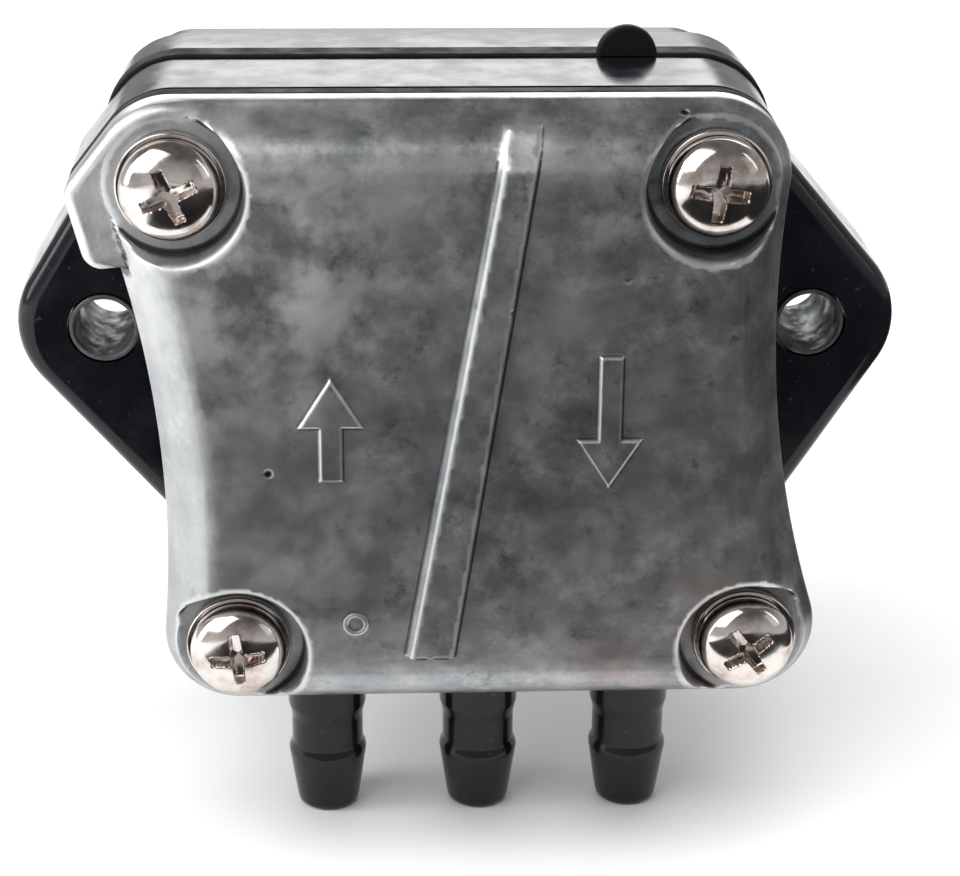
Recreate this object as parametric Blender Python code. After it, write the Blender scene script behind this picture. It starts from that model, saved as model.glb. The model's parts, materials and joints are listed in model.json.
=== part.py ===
"""Flange-mounted mechanical diaphragm pump with a die-cast cover and three hose nozzles.

The pump axis runs along Y. The cover faces -Y, the flange bolts to its engine or bulkhead with its
rear face at Y = 0, the nozzles point down (-Z), and the plunger stands out behind the flange (+Y).
All lengths are in metres.
"""

import math

import bmesh
import bpy
from mathutils import Matrix, Vector

# Fits
SEAM = 0.0003  # gap left between two pieces that bear on each other
RUNNING = 0.0003  # radial clearance of a piece that slides in a bore

# Outline that the cover, membrane, valve body, diaphragm and base share
SCREW_HALF_X = 0.02535
SCREW_HALF_Z = 0.0238
SCREW_SKEW = 0.00245  # the upper screws stand this far to -X, the lower ones this far to +X
CORNER_RADIUS = 0.0075
WAIST = 0.0050  # half the material left at the waist, beside the line through two screws

# Index lug beside the upper left screw
LUG_TIP = (-0.0082, -0.0014, 0.0019)  # offset from the screw in X and Z, and radius
LUG_HEEL = (-0.0068, -0.0066, 0.0020)
LUG_STEP = 0.0002  # the lug's face lies this far below the screw pocket's floor

# Stack of layers, front to rear
COVER_HEIGHT = 0.0078
COVER_WALL = 0.0024
RIM_HEIGHT = 0.0020
POCKET_FLOOR_HEIGHT = 0.0039
POCKET_RADIUS = 0.0066
MEMBRANE_THICKNESS = 0.0016
BODY_DEPTH = 0.0109
DIAPHRAGM_RIM_THICKNESS = 0.0030
DIAPHRAGM_OVERHANG = 0.0003  # how far the rubber rim stands proud of the layers it seals
TAB_X = 0.0161
TAB_RADIUS = 0.0030  # half-round tab on the rim's top edge
TAB_THICKNESS = 0.0013
BASE_DEPTH = 0.0071
BASE_SETBACK = 0.0121  # from the flange's rear face to the square body's rear face

# Mounting flange
FLANGE_THICKNESS = 0.0140
EAR_SPACING = 0.0750
EAR_RADIUS = 0.0093
FLANGE_SHOULDER_RADIUS = 0.0050
FLANGE_EDGE = 0.0012
SLEEVE_BORE_RADIUS = 0.0032
SLEEVE_WALL = 0.0005

# Cover relief
RIB_TILT = math.radians(9.2)
RIB_WIDTH = 0.0044
RIB_RISE = 0.0010
RIB_TOP = 0.0264
RIB_FOOT = 0.0303
RIB_BOTTOM = -0.0240
ARROW_X = 0.0134
ARROW_LENGTH = 0.0125
ARROW_WIDTH = 0.0062
ARROW_SHAFT = 0.0022
ARROW_RISE = 0.0004

# Screws, washers and threaded inserts
SCREW_RADIUS = 0.0025
THREAD_DEPTH = 0.0004
THREAD_ROOT_RADIUS = SCREW_RADIUS - THREAD_DEPTH
SCREW_LENGTH = 0.0300
SCREW_TIP_ROOM = 0.0010
HEAD_RADIUS = 0.00475
HEAD_HEIGHT = 0.0031
RECESS_HALF_WIDTH = 0.0005
RECESS_HALF_SPAN = 0.0025
RECESS_DEPTH = 0.0017
WASHER_RADIUS = 0.0052
WASHER_THICKNESS = 0.0009
INSERT_RADIUS = 0.0035
INSERT_LENGTH = 0.0065

# Chambers and check valves
CHAMBER_RADIUS = 0.0190
CHAMBER_WALL = 0.0030  # the wall between the inlet and outlet chambers, under the cover's rib
CHAMBER_DEPTH = 0.0064
PUMP_CHAMBER_RADIUS = 0.0170
PUMP_CHAMBER_DEPTH = 0.0019
VALVE_X = 0.0100
VALVE_POCKET_RADIUS = 0.0065
VALVE_POCKET_WALL = 0.0015
VALVE_PORT_RADIUS = 0.0032
VALVE_SEAT_THICKNESS = 0.0021
VALVE_DISC_RADIUS = 0.0056
VALVE_DISC_THICKNESS = 0.0010
VALVE_SPRING_LENGTH = 0.0024
VALVE_SPRING_RADIUS = 0.0034
VALVE_WIRE_RADIUS = 0.0002
RETAINER_THICKNESS = 0.0009
RETAINER_HOLE_RADIUS = 0.0015
RETAINER_HOLE_CIRCLE = 0.0038

# Hose nozzles
NOZZLE_PITCH = 0.0160
NOZZLE_OFFSET = 0.0016
NOZZLE_AXIS_DEPTH = 0.0042  # behind the valve body's front face
NOZZLE_REACH = 0.0170  # tip below the body's lower face
NOZZLE_BARB_RADIUS = 0.0041
NOZZLE_NECK_RADIUS = NOZZLE_BARB_RADIUS - 0.00035
NOZZLE_TIP_RADIUS = NOZZLE_BARB_RADIUS - 0.0009
NOZZLE_BORE_RADIUS = 0.0020
NOZZLE_BORE_TOPS = (-0.0100, -0.0150, -0.0065)  # where each bore breaks into its chamber

# Diaphragm, its plates and its rod
DIAPHRAGM_OPENING = 0.0165
DIAPHRAGM_WEB = 0.0010
DIAPHRAGM_DROP = 0.0024  # at rest the centre is drawn this far rearward, which is also the stroke
PLATE_RADIUS = 0.0120
PLATE_THICKNESS = 0.0010
ROD_RADIUS = 0.0020
ROD_HEAD_RADIUS = 0.0034
ROD_HEAD_HEIGHT = 0.0009
ROD_TAIL = 0.0018  # rod beyond the cross pin's axis
DIAPHRAGM_SPRING_RADIUS = 0.0082
DIAPHRAGM_WIRE_RADIUS = 0.0006

# Base cavity, seal and plunger guide
DISH_RADIUS = 0.0155
DISH_DEPTH = 0.0042
SPRING_WELL_RADIUS = 0.0110
SPRING_WELL_FLOOR = 0.0010
SEAL_POCKET_RADIUS = 0.0050
SEAL_POCKET_DEPTH = 0.0022
GUIDE_FLOOR = 0.0042
GUIDE_BORE_RADIUS = 0.0065
PILOT_RADIUS = 0.0140
PILOT_LENGTH = 0.0140
GROOVE_START = 0.0050
GROOVE_WIDTH = 0.0030
GROOVE_DEPTH = 0.0020
RING_SQUEEZE_ROOM = 0.0002
SPRING_SEAT_RADIUS = 0.0096
SPRING_SEAT_THICKNESS = 0.0008
PLUNGER_LENGTH = 0.0095
PLUNGER_START = 0.0098
PLUNGER_WALL = 0.0022
PLUNGER_HOLLOW_DEPTH = 0.0070
PLUNGER_SPRING_RADIUS = 0.0052
PLUNGER_WIRE_RADIUS = 0.0003
PIN_RADIUS = 0.0012
PIN_SETBACK = 0.0026  # pin axis behind the plunger's front end

# Positions along Y that follow from the stack
BASE_FRONT = -(BASE_SETBACK + BASE_DEPTH)
DIAPHRAGM_REAR = BASE_FRONT - SEAM
DIAPHRAGM_FRONT = DIAPHRAGM_REAR - DIAPHRAGM_RIM_THICKNESS
BODY_REAR = DIAPHRAGM_FRONT - SEAM
BODY_FRONT = BODY_REAR - BODY_DEPTH
MEMBRANE_REAR = BODY_FRONT - SEAM
MEMBRANE_FRONT = MEMBRANE_REAR - MEMBRANE_THICKNESS
COVER_REAR = MEMBRANE_FRONT - SEAM
POCKET_FLOOR = COVER_REAR - POCKET_FLOOR_HEIGHT
WASHER_REAR = POCKET_FLOOR - SEAM
WASHER_FRONT = WASHER_REAR - WASHER_THICKNESS
HEAD_BASE = WASHER_FRONT - SEAM
PLATEAU = COVER_REAR - COVER_HEIGHT

# Positions along Y of the diaphragm's moving set at rest
CENTRE_REAR = (DIAPHRAGM_FRONT + DIAPHRAGM_REAR + DIAPHRAGM_WEB) / 2 + DIAPHRAGM_DROP
CENTRE_FRONT = CENTRE_REAR - DIAPHRAGM_WEB
FRONT_PLATE_REAR = CENTRE_FRONT - SEAM
REAR_PLATE_FRONT = CENTRE_REAR + SEAM
ROD_HEAD_REAR = FRONT_PLATE_REAR - PLATE_THICKNESS - SEAM
PIN_Y = PLUNGER_START + PIN_SETBACK

# Positions along Y of the two valves
CHAMBER_FLOOR = BODY_FRONT + CHAMBER_DEPTH
PUMP_CHAMBER_FLOOR = BODY_REAR - PUMP_CHAMBER_DEPTH
VALVE_STACK = (
    SEAM + VALVE_DISC_THICKNESS + SEAM + VALVE_SPRING_LENGTH + SEAM + RETAINER_THICKNESS
)
INLET_SEAT = PUMP_CHAMBER_FLOOR + SEAM - VALVE_STACK
OUTLET_SEAT = CHAMBER_FLOOR + SEAM

BODY_HALF_HEIGHT = SCREW_HALF_Z + CORNER_RADIUS
SCREWS = {
    "upper_left": (-SCREW_HALF_X - SCREW_SKEW, SCREW_HALF_Z),
    "upper_right": (SCREW_HALF_X - SCREW_SKEW, SCREW_HALF_Z),
    "lower_left": (-SCREW_HALF_X + SCREW_SKEW, -SCREW_HALF_Z),
    "lower_right": (SCREW_HALF_X + SCREW_SKEW, -SCREW_HALF_Z),
}
EARS = {"left": -EAR_SPACING / 2, "right": EAR_SPACING / 2}

CORNER_STEPS = 6
SIDE_STEPS = 5


def remove_old_scene():
    for old in list(bpy.data.objects):
        bpy.data.objects.remove(old, do_unlink=True)


def material(name, color, roughness, metallic=0.0):
    made = bpy.data.materials.new(name)
    made.use_nodes = True
    shader = made.node_tree.nodes["Principled BSDF"]
    shader.inputs["Base Color"].default_value = (*color, 1.0)
    shader.inputs["Roughness"].default_value = roughness
    shader.inputs["Metallic"].default_value = metallic
    made.diffuse_color = (*color, 1.0)
    return made


def add_object(name, mesh_data, finish, parent=None):
    """Links a bmesh as an object, moved under its parent empty without moving it in the world."""
    bmesh.ops.recalc_face_normals(mesh_data, faces=mesh_data.faces)
    mesh = bpy.data.meshes.new(name)
    if parent is not None:
        bmesh.ops.translate(mesh_data, verts=mesh_data.verts, vec=-parent.location)
    mesh_data.to_mesh(mesh)
    mesh_data.free()
    mesh.shade_smooth()
    mesh.set_sharp_from_angle(angle=math.radians(32))
    made = bpy.data.objects.new(name, mesh)
    bpy.context.scene.collection.objects.link(made)
    made.parent = parent
    if finish is None:
        made.hide_render = True
        made.display_type = "WIRE"
    else:
        mesh.materials.append(finish)
    return made


def joint_empty(name, location):
    made = bpy.data.objects.new(name, None)
    made.location = location
    bpy.context.scene.collection.objects.link(made)
    return made


def combine(target, tool, operation):
    modifier = target.modifiers.new(f"{operation.lower()} {tool.name}", "BOOLEAN")
    modifier.operation = operation
    modifier.object = tool
    modifier.solver = "EXACT"


def cut(target, name, mesh_data):
    combine(target, add_object(name, mesh_data, None), "DIFFERENCE")


def weld_on(target, name, mesh_data):
    combine(target, add_object(name, mesh_data, None), "UNION")


def arc(center, radius, start, end, steps):
    """Points from angle start to angle end, both ends included."""
    return [
        (
            center[0] + radius * math.cos(start + (end - start) * i / steps),
            center[1] + radius * math.sin(start + (end - start) * i / steps),
        )
        for i in range(steps + 1)
    ]


def circle(center, radius, segments=28):
    return arc(center, radius, 0, math.tau, segments)[:-1]


def convex_hull(points):
    """Counter-clockwise hull of points in a plane."""
    ordered = sorted(set(points))

    def chain(source):
        kept = []
        for p in source:
            while len(kept) > 1:
                a, b = kept[-2], kept[-1]
                if (b[0] - a[0]) * (p[1] - a[1]) - (b[1] - a[1]) * (p[0] - a[0]) > 1e-12:
                    break
                kept.pop()
            kept.append(p)
        return kept[:-1]

    return chain(ordered) + chain(reversed(ordered))


def hull_of_circles(circles, inset=0.0):
    """Outline around circles given as (x, z, radius)."""
    points = []
    for x, z, radius in circles:
        points += circle((x, z), radius - inset, 28)
    return convex_hull(points)


def side_arc(lower, upper, inset):
    """Hollow side between a lower and an upper corner on the +X side, as (center, radius, angles)."""
    half = math.dist(lower, upper) / 2
    radius = (half**2 - CORNER_RADIUS**2 + WAIST**2) / (2 * (CORNER_RADIUS - WAIST))
    middle = Vector(((lower[0] + upper[0]) / 2, (lower[1] + upper[1]) / 2))
    along = (Vector(upper) - Vector(lower)).normalized()
    outward = Vector((along.y, -along.x))
    center = middle + outward * (radius + WAIST)
    to_lower = Vector(lower) - center
    to_upper = Vector(upper) - center
    start = math.atan2(to_lower.y, to_lower.x) % math.tau
    end = math.atan2(to_upper.y, to_upper.x) % math.tau
    return center, radius + inset, start, end


def body_outline(inset=0.0):
    """Four round corners, straight top and bottom, and hollow left and right sides."""
    radius = CORNER_RADIUS - inset
    lower, upper = SCREWS["lower_right"], SCREWS["upper_right"]
    center, side_radius, start, end = side_arc(lower, upper, inset)
    half = arc(lower, radius, -math.pi / 2, start - math.pi, CORNER_STEPS)
    half += arc(center, side_radius, start, end, SIDE_STEPS)[1:-1]
    half += arc(upper, radius, end - math.pi, math.pi / 2, CORNER_STEPS)
    return half + [(-x, -z) for x, z in half]


def lug_outline(inset=0.0):
    x, z = SCREWS["upper_left"]
    spots = [(x, z, CORNER_RADIUS - inset)]
    for dx, dz, radius in (LUG_TIP, LUG_HEEL):
        spots.append((x + dx, z + dz, radius - inset))
    return hull_of_circles(spots)


def lugged_outline():
    """Body outline whose upper left corner runs out into the index lug."""
    outline = body_outline()
    half = len(outline) // 2
    lug = lug_outline()
    split = lug.index(max(lug))
    corner_x, corner_z = SCREWS["upper_left"]
    over = [spot for spot in lug[split:] if spot[0] <= corner_x]
    under = [spot for spot in lug[:split] if spot[0] <= corner_x + LUG_HEEL[0]]
    heel_bottom = corner_z + LUG_HEEL[1] - LUG_HEEL[2]
    side = [spot for spot in outline[half + CORNER_STEPS :] if spot[1] < heel_bottom]
    return outline[:half] + over + under + side


def flange_outline(inset=0.0):
    spots = [(x, 0.0, EAR_RADIUS - inset) for x in EARS.values()]
    spots += [(x, z, FLANGE_SHOULDER_RADIUS - inset) for x, z in SCREWS.values()]
    return hull_of_circles(spots)


def plate(outline, front, rear, holes=()):
    """Flat piece between two Y planes, with round or shaped holes through it."""
    made = bmesh.new()
    edges = []
    for loop in (outline, *holes):
        verts = [made.verts.new((x, front, z)) for x, z in loop]
        edges += [made.edges.new((a, b)) for a, b in zip(verts, verts[1:] + verts[:1])]
    bmesh.ops.triangle_fill(made, use_beauty=True, use_dissolve=False, edges=edges)
    swept = bmesh.ops.extrude_face_region(made, geom=list(made.faces))
    moved = [v for v in swept["geom"] if isinstance(v, bmesh.types.BMVert)]
    bmesh.ops.translate(made, verts=moved, vec=(0, rear - front, 0))
    return made


def loft(rings):
    """Closed skin through rings of (outline, y), with a flat cap at each end."""
    made = bmesh.new()
    loops = [[made.verts.new((x, y, z)) for x, z in outline] for outline, y in rings]
    for lower, upper in zip(loops, loops[1:]):
        count = len(lower)
        for i in range(count):
            made.faces.new((lower[i], lower[(i + 1) % count], upper[(i + 1) % count], upper[i]))
    made.faces.new(loops[0])
    made.faces.new(loops[-1])
    return made


def turned(profile, segments=28, center=(0.0, 0.0)):
    """Solid turned from a closed (radius, height) profile; a zero radius becomes one point."""
    made = bmesh.new()
    rings = []
    for radius, height in profile:
        if radius == 0:
            rings.append([made.verts.new((center[0], height, center[1]))])
            continue
        ring = circle(center, radius, segments)
        rings.append([made.verts.new((x, height, z)) for x, z in ring])
    for a, b in zip(rings, rings[1:] + rings[:1]):
        for i in range(segments):
            j = (i + 1) % segments
            corners = [a[i % len(a)], a[j % len(a)], b[j % len(b)], b[i % len(b)]]
            unique = list(dict.fromkeys(corners))
            if len(unique) > 2:
                made.faces.new(unique)
    return made


def ring_profile(inner, outer, front, rear):
    return [(inner, front), (outer, front), (outer, rear), (inner, rear)]


def disc_profile(radius, front, rear):
    return [(0, front), (radius, front), (radius, rear), (0, rear)]


def coil(radius, wire, front, rear, turns, center=(0.0, 0.0), steps=14, sides=6):
    """Helical wire whose end turns touch the two Y planes."""
    made = bmesh.new()
    count = int(turns * steps)
    first, last = front + wire, rear - wire
    loops = []
    for i in range(count + 1):
        turn = math.tau * i / steps
        out = Vector((math.cos(turn), 0, math.sin(turn)))
        middle = Vector((center[0], first + (last - first) * i / count, center[1])) + out * radius
        loop = []
        for k in range(sides):
            angle = math.tau * k / sides
            offset = out * wire * math.cos(angle) + Vector((0, wire * math.sin(angle), 0))
            loop.append(made.verts.new(middle + offset))
        loops.append(loop)
    for a, b in zip(loops, loops[1:]):
        for k in range(sides):
            made.faces.new((a[k], a[(k + 1) % sides], b[(k + 1) % sides], b[k]))
    made.faces.new(loops[0])
    made.faces.new(loops[-1])
    return made


def screw_holes(radius=SCREW_RADIUS + SEAM):
    return [circle(spot, radius, 16) for spot in SCREWS.values()]


def chamber_outline(side):
    """Half disc on one side of the tilted wall: side is -1 for the inlet and 1 for the outlet."""
    reach = math.asin(CHAMBER_WALL / 2 / CHAMBER_RADIUS)
    points = arc((0, 0), CHAMBER_RADIUS, -math.pi / 2 + reach, math.pi / 2 - reach, 20)
    spin = -RIB_TILT if side > 0 else math.pi - RIB_TILT
    c, s = math.cos(spin), math.sin(spin)
    return [(x * c - z * s, x * s + z * c) for x, z in points]


def rib():
    """Raised bar that crosses the cover's face, with a long ramp at its upper end."""
    crest = COVER_HEIGHT + RIB_RISE
    side = [
        (RIB_BOTTOM - RIB_RISE, COVER_HEIGHT - RIB_RISE),
        (RIB_BOTTOM, crest),
        (RIB_TOP, crest),
        (RIB_FOOT, RIM_HEIGHT + RIB_RISE),
        (RIB_TOP, COVER_HEIGHT - COVER_WALL / 2),
    ]
    made = bmesh.new()
    ends = []
    for x in (-RIB_WIDTH / 2, RIB_WIDTH / 2):
        ends.append([made.verts.new((x, COVER_REAR - height, z)) for z, height in side])
    for i in range(len(side)):
        j = (i + 1) % len(side)
        made.faces.new((ends[0][i], ends[0][j], ends[1][j], ends[1][i]))
    made.faces.new(ends[0])
    made.faces.new(ends[1])
    tilt = Matrix.Rotation(RIB_TILT, 3, "Y")
    bmesh.ops.rotate(made, verts=made.verts, cent=(0, 0, 0), matrix=tilt)
    return made


def arrow_outline(center_x, direction):
    """Flow arrow that points up for direction 1 and down for -1."""
    half, shaft = ARROW_WIDTH / 2, ARROW_SHAFT / 2
    tip, tail = ARROW_LENGTH / 2, -ARROW_LENGTH / 2
    neck = tip - ARROW_WIDTH * 0.8
    points = [(-shaft, tail), (shaft, tail), (shaft, neck), (half, neck)]
    points += [(0, tip), (-half, neck), (-shaft, neck)]
    return [(center_x + x * direction, z * direction) for x, z in points]


def build_cover(finish):
    levels = (
        (0.0, 0.0),
        (RIM_HEIGHT, 0.0),
        (RIM_HEIGHT + 0.0005, 0.00035),
        (0.60 * COVER_HEIGHT, 0.0015),
        (0.81 * COVER_HEIGHT, 0.0027),
        (0.94 * COVER_HEIGHT, 0.0038),
        (COVER_HEIGHT, 0.0052),
    )
    rings = [(body_outline(inset), COVER_REAR - height) for height, inset in levels]
    cover = add_object("cover", loft(rings), finish)
    lug_face = POCKET_FLOOR + LUG_STEP
    weld_on(cover, "cover_lug", plate(lug_outline(), lug_face, COVER_REAR))
    weld_on(cover, "cover_rib", rib())
    for name, x, direction in (("inlet", -ARROW_X, 1), ("outlet", ARROW_X, -1)):
        shape = plate(arrow_outline(x, direction), PLATEAU - ARROW_RISE, PLATEAU + ARROW_RISE)
        weld_on(cover, f"{name}_arrow", shape)
    for name, spot in SCREWS.items():
        pocket = plate(circle(spot, POCKET_RADIUS), PLATEAU - RIB_RISE, POCKET_FLOOR)
        cut(cover, f"{name}_pocket", pocket)
        through = plate(circle(spot, SCREW_RADIUS + SEAM, 16), PLATEAU, COVER_REAR + SEAM)
        cut(cover, f"{name}_cover_hole", through)
    for name, side in (("inlet", -1), ("outlet", 1)):
        hollow = plate(chamber_outline(side), PLATEAU + COVER_WALL, COVER_REAR + SEAM)
        cut(cover, f"{name}_cover_hollow", hollow)


def build_membrane(finish):
    shape = plate(lugged_outline(), MEMBRANE_FRONT, MEMBRANE_REAR, screw_holes())
    add_object("cover_membrane", shape, finish)


def nozzle_profile():
    """(radius, height) down the outside of a nozzle, from inside the body to the tip."""
    root = -BODY_HALF_HEIGHT
    tip = root - NOZZLE_REACH
    barb = tip + 0.0062
    return [
        (0, root + 0.004),
        (NOZZLE_BARB_RADIUS, root + 0.004),
        (NOZZLE_BARB_RADIUS, root - 0.0050),
        (NOZZLE_NECK_RADIUS, root - 0.0066),
        (NOZZLE_NECK_RADIUS, barb + 0.0012),
        (NOZZLE_BARB_RADIUS, barb),
        (NOZZLE_TIP_RADIUS, tip + 0.0005),
        (NOZZLE_TIP_RADIUS - 0.0005, tip),
        (0, tip),
    ]


def upright(profile, x, y, segments=24):
    """Turned solid on a vertical axis through (x, y)."""
    made = turned(profile, segments)
    quarter = Matrix.Rotation(math.pi / 2, 3, "X")
    bmesh.ops.rotate(made, verts=made.verts, cent=(0, 0, 0), matrix=quarter)
    bmesh.ops.translate(made, verts=made.verts, vec=(x, y, 0))
    return made


def build_valve_body(finish):
    body = add_object("valve_body", plate(lugged_outline(), BODY_FRONT, BODY_REAR, screw_holes()), finish)
    nozzle_y = BODY_FRONT + NOZZLE_AXIS_DEPTH
    spots = [NOZZLE_OFFSET + NOZZLE_PITCH * step for step in (-1, 0, 1)]
    for number, x in enumerate(spots, 1):
        weld_on(body, f"nozzle_{number}", upright(nozzle_profile(), x, nozzle_y))
    pump_chamber = disc_profile(PUMP_CHAMBER_RADIUS, PUMP_CHAMBER_FLOOR, BODY_REAR + SEAM)
    cut(body, "pump_chamber", turned(pump_chamber, 36))
    for number, (x, top) in enumerate(zip(spots, NOZZLE_BORE_TOPS), 1):
        below = -BODY_HALF_HEIGHT - NOZZLE_REACH - SEAM
        bore = [(0, top), (NOZZLE_BORE_RADIUS, top), (NOZZLE_BORE_RADIUS, below), (0, below)]
        cut(body, f"nozzle_bore_{number}", upright(bore, x, nozzle_y, 16))
    for name, side in (("inlet", -1), ("outlet", 1)):
        hollow = plate(chamber_outline(side), BODY_FRONT - SEAM, CHAMBER_FLOOR)
        cut(body, f"{name}_chamber", hollow)
    boss_radius = VALVE_POCKET_RADIUS + VALVE_POCKET_WALL
    web_middle = (CHAMBER_FLOOR + PUMP_CHAMBER_FLOOR) / 2
    wide, narrow = VALVE_POCKET_RADIUS, VALVE_PORT_RADIUS
    inlet, outlet = (-VALVE_X, 0.0), (VALVE_X, 0.0)
    outlet_front, outlet_end = OUTLET_SEAT - VALVE_STACK, PUMP_CHAMBER_FLOOR + SEAM
    outlet_hole = [(0, BODY_FRONT), (wide, BODY_FRONT), (wide, OUTLET_SEAT)]
    outlet_hole += [(narrow, OUTLET_SEAT), (narrow, outlet_end), (0, outlet_end)]
    weld_on(body, "outlet_boss", turned(disc_profile(boss_radius, outlet_front, web_middle), 32, outlet))
    cut(body, "outlet_pocket", turned(outlet_hole, 28, outlet))
    inlet_front = INLET_SEAT - VALVE_SEAT_THICKNESS
    inlet_start = inlet_front - SEAM
    inlet_hole = [(0, inlet_start), (narrow, inlet_start), (narrow, INLET_SEAT), (wide, INLET_SEAT)]
    inlet_hole += [(wide, BODY_REAR), (0, BODY_REAR)]
    weld_on(body, "inlet_boss", turned(disc_profile(boss_radius, inlet_front, web_middle), 32, inlet))
    cut(body, "inlet_pocket", turned(inlet_hole, 28, inlet))


def build_valve(name, seat, direction, finishes):
    """Disc, spring and retainer that stack from the seat: direction is 1 when the valve opens rearward."""
    center = (VALVE_X * -direction, 0.0)
    hinge = joint_empty(f"{name}_valve_lift", (center[0], seat, 0))

    def span(near, far):
        return sorted((seat + direction * near, seat + direction * far))

    disc_far = SEAM + VALVE_DISC_THICKNESS
    disc = turned(disc_profile(VALVE_DISC_RADIUS, *span(SEAM, disc_far)), 32, center)
    add_object(f"{name}_valve_disc", disc, finishes["valve_rubber"], hinge)
    spring_far = disc_far + SEAM + VALVE_SPRING_LENGTH
    reach = span(disc_far + SEAM, spring_far)
    spring = coil(VALVE_SPRING_RADIUS, VALVE_WIRE_RADIUS, *reach, 2.5, center, 12, 5)
    add_object(f"{name}_valve_spring", spring, finishes["spring_steel"])
    holes = [
        circle(spot, RETAINER_HOLE_RADIUS, 12)
        for spot in circle(center, RETAINER_HOLE_CIRCLE, 4)
    ]
    edge = circle(center, VALVE_POCKET_RADIUS - SEAM)
    retainer_near = spring_far + SEAM
    retainer = plate(edge, *span(retainer_near, retainer_near + RETAINER_THICKNESS), holes)
    add_object(f"{name}_valve_retainer", retainer, finishes["brass"])


def build_diaphragm(finish):
    opening = circle((0, 0), DIAPHRAGM_OPENING, 32)
    rim_outline = body_outline(-DIAPHRAGM_OVERHANG)
    rim = plate(rim_outline, DIAPHRAGM_FRONT, DIAPHRAGM_REAR, [*screw_holes(), opening])
    diaphragm = add_object("main_diaphragm", rim, finish)
    tab_outline = circle((TAB_X, BODY_HALF_HEIGHT), TAB_RADIUS, 24)
    tab = plate(tab_outline, DIAPHRAGM_FRONT, DIAPHRAGM_FRONT + TAB_THICKNESS)
    weld_on(diaphragm, "diaphragm_tab", tab)
    rim_front = (DIAPHRAGM_FRONT + DIAPHRAGM_REAR - DIAPHRAGM_WEB) / 2
    clamp = PLATE_RADIUS + SEAM
    bore = ROD_RADIUS + SEAM
    edge = DIAPHRAGM_OPENING + 2 * SEAM
    profile = [
        (bore, CENTRE_FRONT),
        (clamp, CENTRE_FRONT),
        (DIAPHRAGM_OPENING - 2 * SEAM, rim_front),
        (edge, rim_front),
        (edge, rim_front + DIAPHRAGM_WEB),
        (DIAPHRAGM_OPENING - 2 * SEAM, rim_front + DIAPHRAGM_WEB),
        (clamp, CENTRE_REAR),
        (bore, CENTRE_REAR),
    ]
    weld_on(diaphragm, "diaphragm_web", turned(profile, 36))


def build_moving_set(finishes):
    """Plunger, cross pin, rod and diaphragm plates, which slide together along the pump axis."""
    push = joint_empty("plunger_slide", (0, PLUNGER_START, 0))
    bore = ROD_RADIUS + SEAM
    front_span = (FRONT_PLATE_REAR - PLATE_THICKNESS, FRONT_PLATE_REAR)
    front = turned(ring_profile(bore, PLATE_RADIUS, *front_span), 32)
    add_object("front_plate", front, finishes["zinc_plate"], push)
    rear_span = (REAR_PLATE_FRONT, REAR_PLATE_FRONT + PLATE_THICKNESS)
    rear = turned(ring_profile(bore, PLATE_RADIUS, *rear_span), 32)
    add_object("rear_plate", rear, finishes["zinc_plate"], push)
    rod_end = PIN_Y + ROD_TAIL
    profile = [
        (0, ROD_HEAD_REAR - ROD_HEAD_HEIGHT),
        (ROD_HEAD_RADIUS, ROD_HEAD_REAR - ROD_HEAD_HEIGHT),
        (ROD_HEAD_RADIUS, ROD_HEAD_REAR),
        (ROD_RADIUS, ROD_HEAD_REAR),
        (ROD_RADIUS, rod_end),
        (0, rod_end),
    ]
    rod = add_object("diaphragm_rod", turned(profile, 24), finishes["steel"], push)
    cross_hole = disc_profile(PIN_RADIUS + SEAM, -PILOT_RADIUS, PILOT_RADIUS)
    cut(rod, "rod_cross_hole", upright(cross_hole, 0, PIN_Y, 16))

    radius = GUIDE_BORE_RADIUS - RUNNING
    inner = radius - PLUNGER_WALL
    end = PLUNGER_START + PLUNGER_LENGTH
    floor = PLUNGER_START + PLUNGER_HOLLOW_DEPTH
    nose = 0.0012
    profile = [
        (0, floor),
        (inner, floor),
        (inner, PLUNGER_START),
        (radius, PLUNGER_START),
        (radius, end - nose),
        (radius - nose / 2, end - nose / 4),
        (radius - 1.5 * nose, end),
        (0, end),
    ]
    plunger = add_object("plunger", turned(profile, 32), finishes["hard_steel"], push)
    cut(plunger, "plunger_cross_hole", upright(cross_hole, 0, PIN_Y, 16))
    half = radius - SEAM
    pin = upright(disc_profile(PIN_RADIUS, -half, half), 0, PIN_Y, 16)
    add_object("cross_pin", pin, finishes["steel"], push)


def build_springs(finish):
    rear_plate_back = REAR_PLATE_FRONT + PLATE_THICKNESS
    seat_front = SPRING_WELL_FLOOR - SEAM - SPRING_SEAT_THICKNESS
    main_span = (rear_plate_back + SEAM, seat_front - SEAM)
    main = coil(DIAPHRAGM_SPRING_RADIUS, DIAPHRAGM_WIRE_RADIUS, *main_span, 4, steps=16)
    add_object("diaphragm_spring", main, finish)
    small_span = (GUIDE_FLOOR + SEAM, PLUNGER_START - SEAM)
    small = coil(PLUNGER_SPRING_RADIUS, PLUNGER_WIRE_RADIUS, *small_span, 3, steps=16)
    add_object("plunger_spring", small, finish)


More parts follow.
